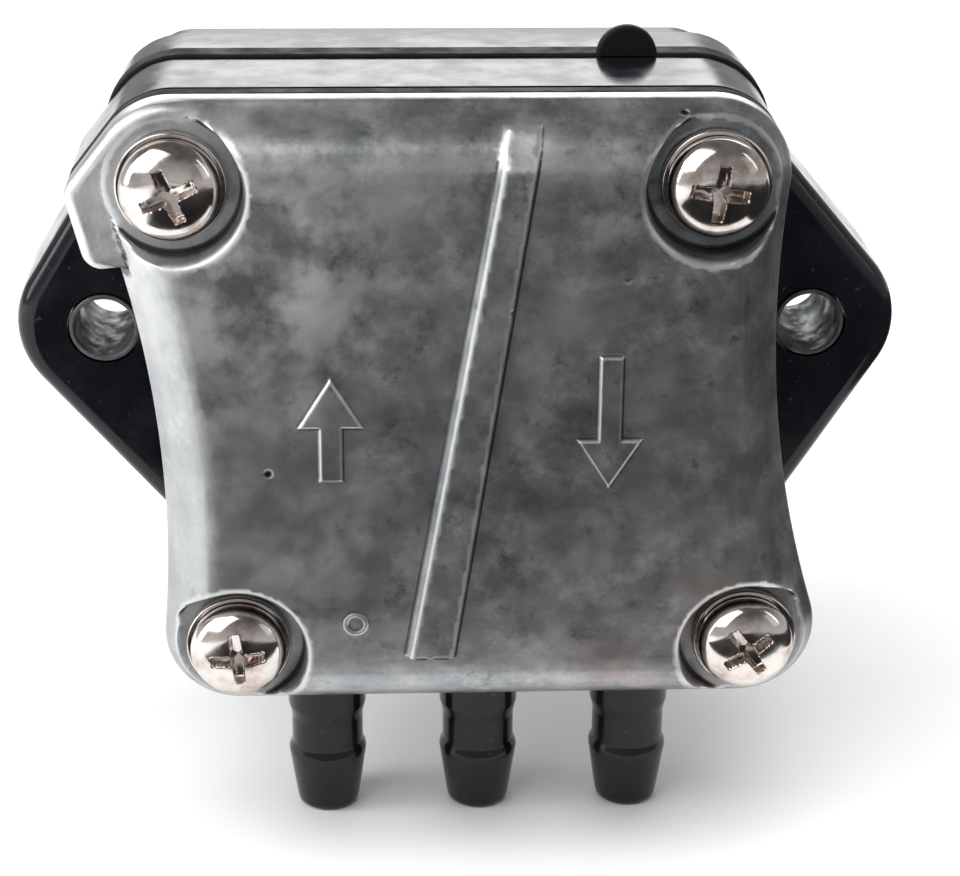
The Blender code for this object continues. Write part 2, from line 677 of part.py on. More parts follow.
def build_base(finish):
    rings = [
        (flange_outline(FLANGE_EDGE), -FLANGE_THICKNESS),
        (flange_outline(), -FLANGE_THICKNESS + FLANGE_EDGE),
        (flange_outline(), 0.0),
    ]
    base = add_object("base", loft(rings), finish)
    weld_on(base, "base_body", plate(body_outline(), BASE_FRONT, -BASE_SETBACK))
    groove_floor = PILOT_RADIUS - GROOVE_DEPTH
    groove_end = GROOVE_START + GROOVE_WIDTH
    lead = 0.0010
    pilot = [
        (0, -BASE_SETBACK),
        (PILOT_RADIUS, -BASE_SETBACK),
        (PILOT_RADIUS, GROOVE_START),
        (groove_floor, GROOVE_START),
        (groove_floor, groove_end),
        (PILOT_RADIUS, groove_end),
        (PILOT_RADIUS, PILOT_LENGTH - lead),
        (PILOT_RADIUS - lead, PILOT_LENGTH),
        (0, PILOT_LENGTH),
    ]
    weld_on(base, "pilot", turned(pilot, 36))
    rod_room = ROD_RADIUS + 2 * RUNNING
    hollow = [
        (0, BASE_FRONT - SEAM),
        (DISH_RADIUS, BASE_FRONT - SEAM),
        (DISH_RADIUS, BASE_FRONT + DISH_DEPTH),
        (SPRING_WELL_RADIUS, BASE_FRONT + DISH_DEPTH),
        (SPRING_WELL_RADIUS, SPRING_WELL_FLOOR),
        (SEAL_POCKET_RADIUS, SPRING_WELL_FLOOR),
        (SEAL_POCKET_RADIUS, SPRING_WELL_FLOOR + SEAL_POCKET_DEPTH),
        (rod_room, SPRING_WELL_FLOOR + SEAL_POCKET_DEPTH),
        (rod_room, GUIDE_FLOOR),
        (GUIDE_BORE_RADIUS, GUIDE_FLOOR),
        (GUIDE_BORE_RADIUS, PILOT_LENGTH + SEAM),
        (0, PILOT_LENGTH + SEAM),
    ]
    cut(base, "base_hollow", turned(hollow, 32))
    insert_room = INSERT_RADIUS + SEAM
    tip_room = HEAD_BASE + SCREW_LENGTH + SCREW_TIP_ROOM
    insert_end = BASE_FRONT + INSERT_LENGTH + SEAM
    for name, spot in SCREWS.items():
        profile = [
            (0, BASE_FRONT - SEAM),
            (insert_room, BASE_FRONT - SEAM),
            (insert_room, insert_end),
            (THREAD_ROOT_RADIUS + SEAM, insert_end),
            (THREAD_ROOT_RADIUS + SEAM, tip_room),
            (0, tip_room),
        ]
        cut(base, f"{name}_insert_hole", turned(profile, 16, spot))
    sleeve_room = SLEEVE_BORE_RADIUS + SLEEVE_WALL + SEAM
    for name, x in EARS.items():
        hole = turned(disc_profile(sleeve_room, -FLANGE_THICKNESS - SEAM, SEAM), 32, (x, 0))
        cut(base, f"{name}_sleeve_hole", hole)


def build_fasteners(finishes):
    washer_profile = ring_profile(SCREW_RADIUS + SEAM, WASHER_RADIUS, WASHER_FRONT, WASHER_REAR)
    insert_span = (BASE_FRONT, BASE_FRONT + INSERT_LENGTH)
    insert_profile = ring_profile(THREAD_ROOT_RADIUS + SEAM, INSERT_RADIUS, *insert_span)
    tip = HEAD_BASE + SCREW_LENGTH
    crown = HEAD_BASE - HEAD_HEIGHT
    screw_profile = [
        (0, crown),
        (0.45 * HEAD_RADIUS, crown + 0.06 * HEAD_HEIGHT),
        (0.72 * HEAD_RADIUS, crown + 0.20 * HEAD_HEIGHT),
        (0.91 * HEAD_RADIUS, crown + 0.46 * HEAD_HEIGHT),
        (HEAD_RADIUS, crown + 0.80 * HEAD_HEIGHT),
        (HEAD_RADIUS, HEAD_BASE),
        (SCREW_RADIUS, HEAD_BASE),
        (SCREW_RADIUS, BASE_FRONT - SEAM),
        (THREAD_ROOT_RADIUS, BASE_FRONT - SEAM),
        (THREAD_ROOT_RADIUS, tip),
        (0, tip),
    ]
    for name, spot in SCREWS.items():
        add_object(f"{name}_washer", turned(washer_profile, 24, spot), finishes["nickel"])
        add_object(f"{name}_insert", turned(insert_profile, 16, spot), finishes["brass"])
        screw = add_object(f"{name}_screw", turned(screw_profile, 20, spot), finishes["nickel"])
        cut(screw, f"{name}_recess", cross_recess(spot, crown))


def cross_recess(spot, crown):
    """Cross-shaped pit that narrows towards its floor."""
    wide, thin = RECESS_HALF_SPAN, RECESS_HALF_WIDTH
    points = [(wide, -thin), (wide, thin), (thin, thin), (thin, wide), (-thin, wide), (-thin, thin)]
    points += [(-wide, thin), (-wide, -thin), (-thin, -thin), (-thin, -wide), (thin, -wide), (thin, -thin)]
    rings = []
    for y, span in ((crown - SEAM, 1.0), (crown + RECESS_DEPTH, 0.45)):
        reach = wide * span
        clamped = [(max(-reach, min(reach, x)), max(-reach, min(reach, z))) for x, z in points]
        rings.append(([(spot[0] + x, spot[1] + z) for x, z in clamped], y))
    return loft(rings)


def build_seals_and_sleeves(finishes):
    seal_front = SPRING_WELL_FLOOR + SEAM
    seal_rear = SPRING_WELL_FLOOR + SEAL_POCKET_DEPTH - SEAM
    seal = ring_profile(ROD_RADIUS + RUNNING, SEAL_POCKET_RADIUS - SEAM, seal_front, seal_rear)
    add_object("rod_seal", turned(seal, 32), finishes["rubber"])
    seat_rear = SPRING_WELL_FLOOR - SEAM
    seat_front = seat_rear - SPRING_SEAT_THICKNESS
    seat = ring_profile(ROD_RADIUS + 2 * RUNNING, SPRING_SEAT_RADIUS, seat_front, seat_rear)
    add_object("spring_seat", turned(seat, 32), finishes["zinc_plate"])
    tube = GROOVE_WIDTH / 2 - RING_SQUEEZE_ROOM
    middle = (PILOT_RADIUS - GROOVE_DEPTH + SEAM + tube, GROOVE_START + GROOVE_WIDTH / 2)
    add_object("pilot_o_ring", turned(circle(middle, tube, 8), 30), finishes["rubber"])
    sleeve = ring_profile(SLEEVE_BORE_RADIUS, SLEEVE_BORE_RADIUS + SLEEVE_WALL, -FLANGE_THICKNESS, 0.0)
    for name, x in EARS.items():
        add_object(f"{name}_mounting_sleeve", turned(sleeve, 32, (x, 0)), finishes["steel"])


def main():
    remove_old_scene()
    finishes = {
        "cast_aluminium": material("cast_aluminium", (0.42, 0.43, 0.43), 0.45, 0.9),
        "black_plastic": material("black_plastic", (0.012, 0.012, 0.015), 0.18),
        "rubber": material("rubber", (0.02, 0.02, 0.022), 0.6),
        "valve_rubber": material("valve_rubber", (0.05, 0.045, 0.04), 0.5),
        "nickel": material("nickel", (0.72, 0.69, 0.66), 0.2, 1.0),
        "steel": material("steel", (0.50, 0.50, 0.50), 0.35, 1.0),
        "hard_steel": material("hard_steel", (0.38, 0.38, 0.40), 0.25, 1.0),
        "spring_steel": material("spring_steel", (0.45, 0.44, 0.42), 0.3, 1.0),
        "zinc_plate": material("zinc_plate", (0.62, 0.60, 0.50), 0.35, 1.0),
        "brass": material("brass", (0.70, 0.52, 0.25), 0.3, 1.0),
    }
    build_cover(finishes["cast_aluminium"])
    build_membrane(finishes["rubber"])
    build_valve_body(finishes["black_plastic"])
    build_valve("inlet", INLET_SEAT, 1, finishes)
    build_valve("outlet", OUTLET_SEAT, -1, finishes)
    build_diaphragm(finishes["rubber"])
    build_moving_set(finishes)
    build_springs(finishes["spring_steel"])
    build_base(finishes["black_plastic"])
    build_fasteners(finishes)
    build_seals_and_sleeves(finishes)


main()
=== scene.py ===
"""Looks for the flange-mounted diaphragm pump: fine surfaces, procedural materials, stage and camera."""

import json
import math

import bmesh
import bpy
import numpy as np
from mathutils import Matrix, Vector
from mathutils.geometry import delaunay_2d_cdt
from mathutils.kdtree import KDTree


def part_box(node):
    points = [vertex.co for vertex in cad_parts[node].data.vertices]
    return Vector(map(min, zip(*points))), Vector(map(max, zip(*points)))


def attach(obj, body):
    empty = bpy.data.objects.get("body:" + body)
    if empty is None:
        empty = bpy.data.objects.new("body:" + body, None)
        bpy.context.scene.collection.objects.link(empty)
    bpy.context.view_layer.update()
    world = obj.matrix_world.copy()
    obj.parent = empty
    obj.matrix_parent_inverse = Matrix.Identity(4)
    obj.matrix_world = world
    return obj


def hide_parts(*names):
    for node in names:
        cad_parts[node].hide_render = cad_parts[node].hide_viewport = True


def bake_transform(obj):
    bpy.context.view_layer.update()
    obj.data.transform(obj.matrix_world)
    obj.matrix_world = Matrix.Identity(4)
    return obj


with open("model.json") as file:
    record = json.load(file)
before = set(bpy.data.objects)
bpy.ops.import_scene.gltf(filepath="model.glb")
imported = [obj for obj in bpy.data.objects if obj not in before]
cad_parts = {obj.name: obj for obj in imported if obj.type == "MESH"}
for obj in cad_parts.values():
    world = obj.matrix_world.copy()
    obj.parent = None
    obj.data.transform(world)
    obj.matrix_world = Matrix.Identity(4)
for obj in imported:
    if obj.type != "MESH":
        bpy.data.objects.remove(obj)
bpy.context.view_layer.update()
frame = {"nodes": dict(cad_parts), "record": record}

MM = 0.001
SEAM = 0.3 * MM  # gap that the CAD leaves between pieces that bear on each other


def low(node):
    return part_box(node)[0]


def high(node):
    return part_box(node)[1]


def middle(node):
    lo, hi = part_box(node)
    return [(lo[i] + hi[i]) / 2 for i in range(3)]


# Places and sizes taken from the frame
CORNERS = ("upper_left", "upper_right", "lower_left", "lower_right")
SCREWS = {name: (middle(f"{name}_washer")[0], middle(f"{name}_washer")[2]) for name in CORNERS}
HALF_HEIGHT = high("cover_membrane")[2]
CORNER_RADIUS = HALF_HEIGHT - SCREWS["upper_left"][1]
COVER_REAR = high("cover")[1]
MEMBRANE_FRONT, MEMBRANE_REAR = low("cover_membrane")[1], high("cover_membrane")[1]
BODY_FRONT, BODY_REAR = low("valve_body")[1], high("valve_body")[1]
DIAPHRAGM_FRONT = low("main_diaphragm")[1]
BASE_FRONT = low("base")[1]
DIAPHRAGM_REAR = BASE_FRONT - SEAM
PILOT_END = high("base")[1]
NOZZLE_TIP = low("valve_body")[2]
EARS = {name: middle(f"{name}_mounting_sleeve")[0] for name in ("left", "right")}

# Cover relief
WAIST = 5.0 * MM
POCKET_HEIGHT = 3.9 * MM
PLATEAU_HEIGHT = 7.8 * MM
RIB_RISE = 1.0 * MM
RIB_ENDS = ((4.15 * MM, 26.4 * MM, 1.95 * MM), (-3.90 * MM, -23.7 * MM, 2.50 * MM))
RIB_LEFT_FLANK = 0.85 * MM
RIB_RIGHT_FLANK = 0.35 * MM
RIB_RAMP_FALL = 0.95
ARROWS = (
    (-13.4 * MM, 0.5 * MM, 10.5 * MM, 1),
    (13.3 * MM, 1.0 * MM, 13.5 * MM, -1),
)
ARROW_RISE = 0.35 * MM
MARK = (-11.2 * MM, -20.2 * MM, 1.0 * MM)
LUG_TIP = (-8.2 * MM, -1.4 * MM, 1.9 * MM)
LUG_HEEL = (-6.8 * MM, -6.6 * MM, 2.0 * MM)

# Valve body, base and flange
CHAMBER_RADIUS = 19.0 * MM
CHAMBER_WALL = 3.0 * MM
CHAMBER_FLOOR = BODY_FRONT + 6.4 * MM
PUMP_CHAMBER_FLOOR = BODY_REAR - 1.9 * MM
PUMP_CHAMBER_RADIUS = 17.0 * MM
RIB_TILT = math.radians(9.2)
VALVE_X = middle("outlet_valve_disc")[0]
NOZZLE_XS = (-14.4 * MM, 1.6 * MM, 17.6 * MM)
NOZZLE_Y = BODY_FRONT + 4.2 * MM
FLANGE_FRONT = low("left_mounting_sleeve")[1]
EAR_RADIUS = 9.3 * MM
SHOULDER_RADIUS = 5.0 * MM
FLANGE_FILLET = 2.0 * MM
BODY_SETBACK = 12.1 * MM
TAB_X, TAB_RADIUS = 16.1 * MM, 3.0 * MM
DIAPHRAGM_OPENING = 16.5 * MM


# Screws
HEAD_RADIUS = 4.75 * MM
HEAD_HEIGHT = 3.1 * MM


# Outlines are arrays of x, z and the outward normal

def arc(center, radius, start, end, steps, hollow=False):
    turn = np.linspace(start, end, steps + 1)
    out = np.column_stack([np.cos(turn), np.sin(turn)])
    return np.hstack([np.array(center) + radius * out, -out if hollow else out])


def circle(center, radius, segments=64):
    return arc(center, radius, 0, math.tau, segments)[:-1]


def inset(outline, distance):
    return outline[:, :2] - distance * outline[:, 2:]


def convex_hull(points):
    """Counter-clockwise hull of outline points, kept with their normals."""
    ordered = sorted(map(tuple, points))

    def chain(source):
        kept = []
        for p in source:
            while len(kept) > 1:
                a, b = kept[-2], kept[-1]
                if (b[0] - a[0]) * (p[1] - a[1]) - (b[1] - a[1]) * (p[0] - a[0]) > 1e-12:
                    break
                kept.pop()
            kept.append(p)
        return kept[:-1]

    return np.array(chain(ordered) + chain(reversed(ordered)))


def hull_of_circles(circles, segments=96):
    return convex_hull(np.vstack([circle((x, z), radius, segments) for x, z, radius in circles]))


def body_outline(corner_steps=24, side_steps=40, top_steps=30):
    """Four round corners, straight top and bottom, and hollow left and right sides."""
    lower, upper = np.array(SCREWS["lower_right"]), np.array(SCREWS["upper_right"])
    half = np.linalg.norm(upper - lower) / 2
    radius = (half**2 - CORNER_RADIUS**2 + WAIST**2) / (2 * (CORNER_RADIUS - WAIST))
    along = (upper - lower) / (2 * half)
    outward = np.array([along[1], -along[0]])
    center = (lower + upper) / 2 + outward * (radius + WAIST)
    start = math.atan2(*(lower - center)[::-1]) % math.tau
    end = math.atan2(*(upper - center)[::-1]) % math.tau
    first = arc(lower, CORNER_RADIUS, -math.pi / 2, start - math.pi, corner_steps)
    side = arc(center, radius, start, end, side_steps, hollow=True)
    second = arc(upper, CORNER_RADIUS, end - math.pi, math.pi / 2, corner_steps)
    top = np.linspace(second[-1], (*-first[0, :2], 0, 1), top_steps + 1)[1:-1]
    right = np.vstack([first, side[1:-1], second, top])
    return np.vstack([right, -right])


def lug_outline():
    x, z = SCREWS["upper_left"]
    spots = [(x, z, CORNER_RADIUS)]
    spots += [(x + dx, z + dz, radius) for dx, dz, radius in (LUG_TIP, LUG_HEEL)]
    return hull_of_circles(spots)


def lugged_outline():
    """Body outline whose upper left corner runs out into the index lug."""
    outline, lug = body_outline(), lug_outline()
    corner_x, corner_z = SCREWS["upper_left"]
    split = int(np.argmax(lug[:, 0]))
    over = lug[split:][lug[split:, 0] <= corner_x]
    under = lug[:split][lug[:split, 0] <= corner_x + LUG_HEEL[0]]
    foot = corner_z + LUG_HEEL[1] - LUG_HEEL[2]
    left = outline[:, 0] < 0
    corner = left & (outline[:, 1] > foot) & (outline[:, 0] < corner_x - 0.01 * MM)
    before = int(np.argmax(corner))
    after = before + int(corner[before:].sum())
    whole = np.vstack([outline[:before], over, under, outline[after:]])
    step = np.linalg.norm(whole[:, :2] - np.roll(whole[:, :2], 1, axis=0), axis=1)
    return whole[step > 0.01 * MM]


def flange_outline():
    spots = [(x, 0.0, EAR_RADIUS) for x in EARS.values()]
    spots += [(x, z, SHOULDER_RADIUS) for x, z in SCREWS.values()]
    return hull_of_circles(spots)


def chamber_outline(side):
    """Half disc on one side of the tilted wall: side is -1 for the inlet and 1 for the outlet."""
    reach = math.asin(CHAMBER_WALL / 2 / CHAMBER_RADIUS)
    spin = -RIB_TILT if side > 0 else math.pi - RIB_TILT
    return arc((0, 0), CHAMBER_RADIUS, spin - math.pi / 2 + reach, spin + math.pi / 2 - reach, 48)


# Mesh builders

def new_piece(name, mesh_data, finish, body, nodes=(), angle=35):
    """Links a bmesh as a smooth-shaded piece that rides on a body and stands for CAD nodes."""
    bmesh.ops.recalc_face_normals(mesh_data, faces=mesh_data.faces)
    mesh = bpy.data.meshes.new(name)
    mesh_data.to_mesh(mesh)
    mesh_data.free()
    mesh.shade_smooth()
    mesh.set_sharp_from_angle(angle=math.radians(angle))
    mesh.materials.append(finish)
    made = bpy.data.objects.new(name, mesh)
    bpy.context.scene.collection.objects.link(made)
    normals = made.modifiers.new("flat faces stay flat", "WEIGHTED_NORMAL")
    normals.keep_sharp = True
    normals.weight = 90
    if nodes:
        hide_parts(*nodes)
    if body:
        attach(made, body)
    return made


def bridge(mesh_data, first, second):
    count = len(first)
    for i in range(count):
        j = (i + 1) % count
        mesh_data.faces.new((first[i], first[j], second[j], second[i]))


def faces_between(spots, faces, loops):
    """The faces whose middle lies inside the first loop and outside the others."""
    spots = np.array([tuple(s) for s in spots])
    centers = spots[np.array(faces)].mean(axis=1)
    kept = depth_inside(centers, loops[0]) > 0
    for hole in loops[1:]:
        kept &= depth_inside(centers, hole) < 0
    return [face for face, keep in zip(faces, kept) if keep]


def cap(mesh_data, loops):
    """Fills the region between flat closed loops of vertices that share one Y."""
    corners, edges = [], []
    for loop in loops:
        start, count = len(corners), len(loop)
        edges += [(start + i, start + (i + 1) % count) for i in range(count)]
        corners += loop
    flat = [Vector((v.co.x, v.co.z)) / MM for v in corners]
    spots, _, faces, sources, *_ = delaunay_2d_cdt(flat, edges, [], 0, 1e-5, True)
    shapes = [np.array([(v.co.x, v.co.z) for v in loop]) / MM for loop in loops]
    for face in faces_between(spots, faces, shapes):
        mesh_data.faces.new([corners[sources[i][0]] for i in face])


def slab(made, outline, front, rear, front_edge=0.0, rear_edge=0.0, holes=()):
    """Adds a plate between two Y planes, with rounded outer edges and holes through it."""
    levels = []
    steps = 5
    for i in range(steps + 1):
        turn = math.pi / 2 * i / steps
        levels.append((front_edge * (1 - math.sin(turn)), front + front_edge * (1 - math.cos(turn))))
    for i in range(steps + 1):
        turn = math.pi / 2 * i / steps
        levels.append((rear_edge * (1 - math.cos(turn)), rear - rear_edge * (1 - math.sin(turn))))
    if not front_edge:
        levels = levels[steps:]
    if not rear_edge:
        levels = levels[:-steps]
    rings = []
    for distance, y in levels:
        rings.append([made.verts.new((x, y, z)) for x, z in inset(outline, distance)])
    for a, b in zip(rings, rings[1:]):
        bridge(made, a, b)
    front_loops, rear_loops = [rings[0]], [rings[-1]]
    for hole in holes:
        near = [made.verts.new((x, front, z)) for x, z in hole[:, :2]]
        far = [made.verts.new((x, rear, z)) for x, z in hole[:, :2]]
        bridge(made, near, far)
        front_loops.append(near)
        rear_loops.append(far)
    cap(made, front_loops)
    cap(made, rear_loops)


def turned(made, profile, segments=64, center=(0.0, 0.0), y_shift=0.0, upright=False):
    """Adds a solid turned from a closed (radius, height) profile about Y, or about Z if upright."""
    rings = []
    for radius, height in profile:
        if radius == 0:
            spots = [(center[0], height, center[1])]
        else:
            spots = [(x, height, z) for x, z in circle(center, radius, segments)[:, :2]]
        if upright:
            spots = [(x, y_shift + z, height) for x, height, z in spots]
        rings.append([made.verts.new(spot) for spot in spots])
    for a, b in zip(rings, rings[1:] + rings[:1]):
        for i in range(segments):
            j = (i + 1) % segments
            corners = dict.fromkeys([a[i % len(a)], a[j % len(a)], b[j % len(b)], b[i % len(b)]])
            if len(corners) > 2:
                made.faces.new(corners)


def softened(profile, radius, steps=3):
    """Profile with each corner cut back into a short round."""
    points = [Vector(p) for p in profile]
    made = []
    for before, here, after in zip(points[-1:] + points[:-1], points, points[1:] + points[:1]):
        if here.x == 0 or before == here:
            made.append(tuple(here))
            continue
        back, ahead = before - here, after - here
        reach = min(radius, back.length * 0.45, ahead.length * 0.45)
        a, b = here + back.normalized() * reach, here + ahead.normalized() * reach
        for i in range(steps + 1):
            t = i / steps
            made.append(tuple(a * (1 - t) ** 2 + here * 2 * t * (1 - t) + b * t * t))
    return made


def coil(made, radius, wire, front, rear, turns, center=(0.0, 0.0), steps=32, sides=10):
    """Adds a helical wire whose end turns lie nearly flat."""
    count = int(turns * steps)
    first, last = front + wire, rear - wire
    loops = []
    for i in range(count + 1):
        t = i / count
        turn = math.tau * i / steps
        out = Vector((math.cos(turn), 0, math.sin(turn)))
        rise = t - math.sin(math.tau * t) / math.tau * 0.6
        spot = Vector((center[0], first + (last - first) * rise, center[1])) + out * radius
        loop = []
        for k in range(sides):
            angle = math.tau * k / sides
            offset = out * math.cos(angle) + Vector((0, math.sin(angle), 0))
            loop.append(made.verts.new(spot + wire * offset))
        loops.append(loop)
    for a, b in zip(loops, loops[1:]):
        bridge(made, a, b)
    made.faces.new(loops[0])
    made.faces.new(loops[-1])


# Cover surface

def smooth(t):
    t = np.clip(t, 0, 1)
    return t * t * (3 - 2 * t)


def depth_inside(points, outline):
    """Distance from each point to a closed outline, positive inside it."""
    a = outline[:, :2]
    b = np.roll(a, -1, axis=0)
    ab = b - a
    length = (ab**2).sum(axis=1)
    out = np.empty(len(points))
    for start in range(0, len(points), 4000):
        p = points[start : start + 4000, None, :]
        t = np.clip(((p - a) * ab).sum(axis=2) / length, 0, 1)
        away = np.sqrt(((p - a - t[..., None] * ab) ** 2).sum(axis=2)).min(axis=1)
        low_side = a[:, 1] <= p[..., 1]
        crossing = low_side != (b[:, 1] <= p[..., 1])
        with np.errstate(divide="ignore", invalid="ignore"):
            at = a[:, 0] + (p[..., 1] - a[:, 1]) / ab[:, 1] * ab[:, 0]
        inside = (crossing & (p[..., 0] < at)).sum(axis=1) % 2 == 1
        out[start : start + 4000] = np.where(inside, away, -away)
    return out


EDGE_PROFILE = (
    (0.00, 1.75), (0.10, 2.02), (0.30, 2.28), (0.60, 2.70), (0.95, 3.35), (1.50, 4.55), (2.10, 5.60),
    (2.70, 6.40), (3.40, 7.05), (4.20, 7.50), (5.20, 7.74), (6.40, 7.80),
)


def edge_height(distance):
    spans, heights = np.array(EDGE_PROFILE).T * MM
    return np.interp(distance, spans, heights)


def arrow_outline(x, z, length, direction):
    half, shaft, neck = 3.1 * MM, 1.1 * MM, length / 2 - 5.0 * MM
    points = [(-shaft, -length / 2), (shaft, -length / 2), (shaft, neck), (half, neck), (0, length / 2)]
    points += [(-half, neck), (-shaft, neck)]
    return np.array([(x + px * direction, z + pz * direction) for px, pz in points])


def rib_frame(points):
    """Signed distance across the rib from its middle line, and its half width there."""
    (top_x, top_z, top_half), (low_x, low_z, low_half) = RIB_ENDS
    share = (points[:, 1] - low_z) / (top_z - low_z)
    across = (points[:, 0] - (low_x + share * (top_x - low_x))) * math.cos(RIB_TILT)
    return across, low_half + share * (top_half - low_half)


def cover_height(points, body, lug):
    """Height of the cover's face above its rear face."""
    height = np.where(depth_inside(points, body) >= -1e-6, edge_height(depth_inside(points, body)), 0)
    across, half = rib_frame(points)
    crest = PLATEAU_HEIGHT + RIB_RISE - np.maximum(points[:, 1] - RIB_ENDS[0][1], 0) * RIB_RAMP_FALL
    crest -= 9 * MM * smooth((RIB_ENDS[1][1] - points[:, 1]) / (0.6 * MM))
    crest -= 9 * MM * smooth((points[:, 1] - 29.5 * MM) / (0.6 * MM))
    left = smooth((across + half) / RIB_LEFT_FLANK)
    right = smooth((half - across) / RIB_RIGHT_FLANK)
    flank = np.minimum(left, right)
    height = np.where(flank > 0, height + np.maximum(crest - height, 0) * flank, height)
    for arrow in ARROWS:
        inside = depth_inside(points, np.hstack([arrow_outline(*arrow), np.zeros((7, 2))]))
        height += ARROW_RISE * smooth((inside + 0.15 * MM) / (0.35 * MM))
    ring = np.abs(np.hypot(points[:, 0] - MARK[0], points[:, 1] - MARK[1]) - MARK[2])
    height += 0.18 * MM * smooth((0.35 * MM - ring) / (0.25 * MM))
    for x, z in SCREWS.values():
        away = np.hypot(points[:, 0] - x, points[:, 1] - z)
        wall = np.interp(away, np.array([6.6, 6.75, 6.95, 7.3]) * MM, np.array([0, 0.72, 0.93, 1.0]))
        floor = np.minimum(POCKET_HEIGHT, height)
        height = np.where(away < 7.3 * MM, floor + (height - floor) * wall, height)
    lug_depth = depth_inside(points, lug)
    lug_height = POCKET_HEIGHT - 0.2 * MM - 0.8 * MM * (1 - smooth(lug_depth / (0.8 * MM)) ** 0.5)
    return np.where(lug_depth >= -1e-6, np.maximum(height, lug_height), height)


def cover_points(outline):
    """Points for the cover's face and the edges that join those along its edge, its pockets and its rib."""
    lines = [(inset(outline, distance * MM), True, True) for distance in (0, 0.1, 0.3, 0.6, 0.95)]
    for x, z in SCREWS.values():
        for radius in (6.2, 6.6, 6.75, 6.95, 7.3):
            lines.append((circle((x, z), radius * MM, 120)[:, :2], True, False))
    (top_x, top_z, top_half), (low_x, low_z, low_half) = RIB_ENDS
    rows = np.arange(low_z - 1.0 * MM, top_z + 4.0 * MM, 0.2 * MM)
    share = (rows - low_z) / (top_z - low_z)
    half = low_half + share * (top_half - low_half)
    offsets = [RIB_LEFT_FLANK * part - half for part in (-0.3, 0, 0.25, 0.5, 0.75, 1)]
    offsets += [0 * half] + [half - RIB_RIGHT_FLANK * part for part in (1, 0.67, 0.33, 0, -0.6)]
    for offset in offsets:
        across = low_x + share * (top_x - low_x) + offset / math.cos(RIB_TILT)
        lines.append((np.column_stack([across, rows]), False, False))
    points, edges, count = [], [], 0
    for line, closed, whole in lines:
        kept = np.full(len(line), True) if whole else depth_inside(line, outline) > 1.1 * MM
        index = count + np.cumsum(kept) - 1
        for i in range(len(line) - (not closed)):
            j = (i + 1) % len(line)
            if kept[i] and kept[j]:
                edges.append((int(index[i]), int(index[j])))
        points.append(line[kept])
        count += int(kept.sum())
    patches = [(x, z, 3.6 * MM, length / 2 + 0.6 * MM, 0.13 * MM) for x, z, length, _ in ARROWS]
    patches.append((*MARK[:2], 1.7 * MM, 1.7 * MM, 0.13 * MM))
    patches.append((0, 0, 40 * MM, 32 * MM, 0.42 * MM))
    for x, z, half_x, half_z, step in patches:
        spots = np.meshgrid(np.arange(x - half_x, x + half_x, step), np.arange(z - half_z, z + half_z, step))
        grid = np.column_stack([spots[0].ravel(), spots[1].ravel()])
        grid = grid[depth_inside(grid, outline) > 1.1 * MM]
        near = KDTree(count)
        for i, (px, pz) in enumerate(np.vstack(points)):
            near.insert((px, pz, 0), i)
        near.balance()
        grid = np.array([p for p in grid if near.find((p[0], p[1], 0))[2] > 0.25 * MM])
        points.append(grid)
        count += len(grid)
    return np.vstack(points), edges, len(outline)


def build_cover(finish):
    points, edges, rim = cover_points(lugged_outline())
    vectors = [Vector(p) / MM for p in points]
    spots, _, faces, sources, *_ = delaunay_2d_cdt(vectors, edges, [], 0, 1e-4, True)
    flat = np.array([tuple(s) for s in spots]) * MM
    heights = cover_height(flat, body_outline(), lug_outline())
    made = bmesh.new()
    top = [made.verts.new((x, COVER_REAR - h, z)) for (x, z), h in zip(flat, heights)]
    for face in faces_between(spots, faces, [points[:rim] / MM]):
        made.faces.new([top[i] for i in face])
    border = {source: top[i] for i, found in enumerate(sources) for source in found if source < rim}
    front_edge = [border[i] for i in range(rim)]
    rear_edge = [made.verts.new((v.co.x, COVER_REAR, v.co.z)) for v in front_edge]
    bridge(made, front_edge, rear_edge)
    cap(made, [rear_edge])
    piece = new_piece("cover_casting", made, finish, "housing", ["cover"], 42)
    piece.modifiers.clear()
    # Convexity for edge wear, painted highlight on ridges and painted shade in creases
    mark_wear_and_painted_light(piece.data)


def mark_wear_and_painted_light(mesh):
    """Stores how convex the surface is at each point, from 0 in a crease to 1 on a ridge. The cover's
    material lightens ridges with it, as edge wear and painted highlight, and darkens creases with it, as
    painted shade.
    """
    count = len(mesh.vertices)
    spots = np.empty(count * 3)
    mesh.vertices.foreach_get("co", spots)
    spots = spots.reshape(-1, 3)
    normals = np.empty(count * 3)
    mesh.vertices.foreach_get("normal", normals)
    normals = normals.reshape(-1, 3)
    ends = np.empty(len(mesh.edges) * 2, int)
    mesh.edges.foreach_get("vertices", ends)
    ends = ends.reshape(-1, 2)
    step = spots[ends[:, 0]] - spots[ends[:, 1]]
    step /= np.linalg.norm(step, axis=1)[:, None] + 1e-12
    total, uses = np.zeros(count), np.zeros(count)
    for here, sign in ((0, 1), (1, -1)):
        np.add.at(total, ends[:, here], sign * (step * normals[ends[:, here]]).sum(axis=1))
        np.add.at(uses, ends[:, here], 1)
    convex = np.clip(0.5 + 1.6 * total / np.maximum(uses, 1), 0, 1)
    attribute = mesh.attributes.new("WearAndPaintedLight", "FLOAT", "POINT")
    attribute.data.foreach_set("value", convex.astype(np.float32))


# Other pieces

def screw_holes():
    return [circle(spot, 2.8 * MM, 32) for spot in SCREWS.values()]


def build_membrane(finish):
    made = bmesh.new()
    slab(made, lugged_outline(), MEMBRANE_FRONT, MEMBRANE_REAR, 0.15 * MM, 0.15 * MM, screw_holes())
    new_piece("membrane_sheet", made, finish, "housing", ["cover_membrane"])


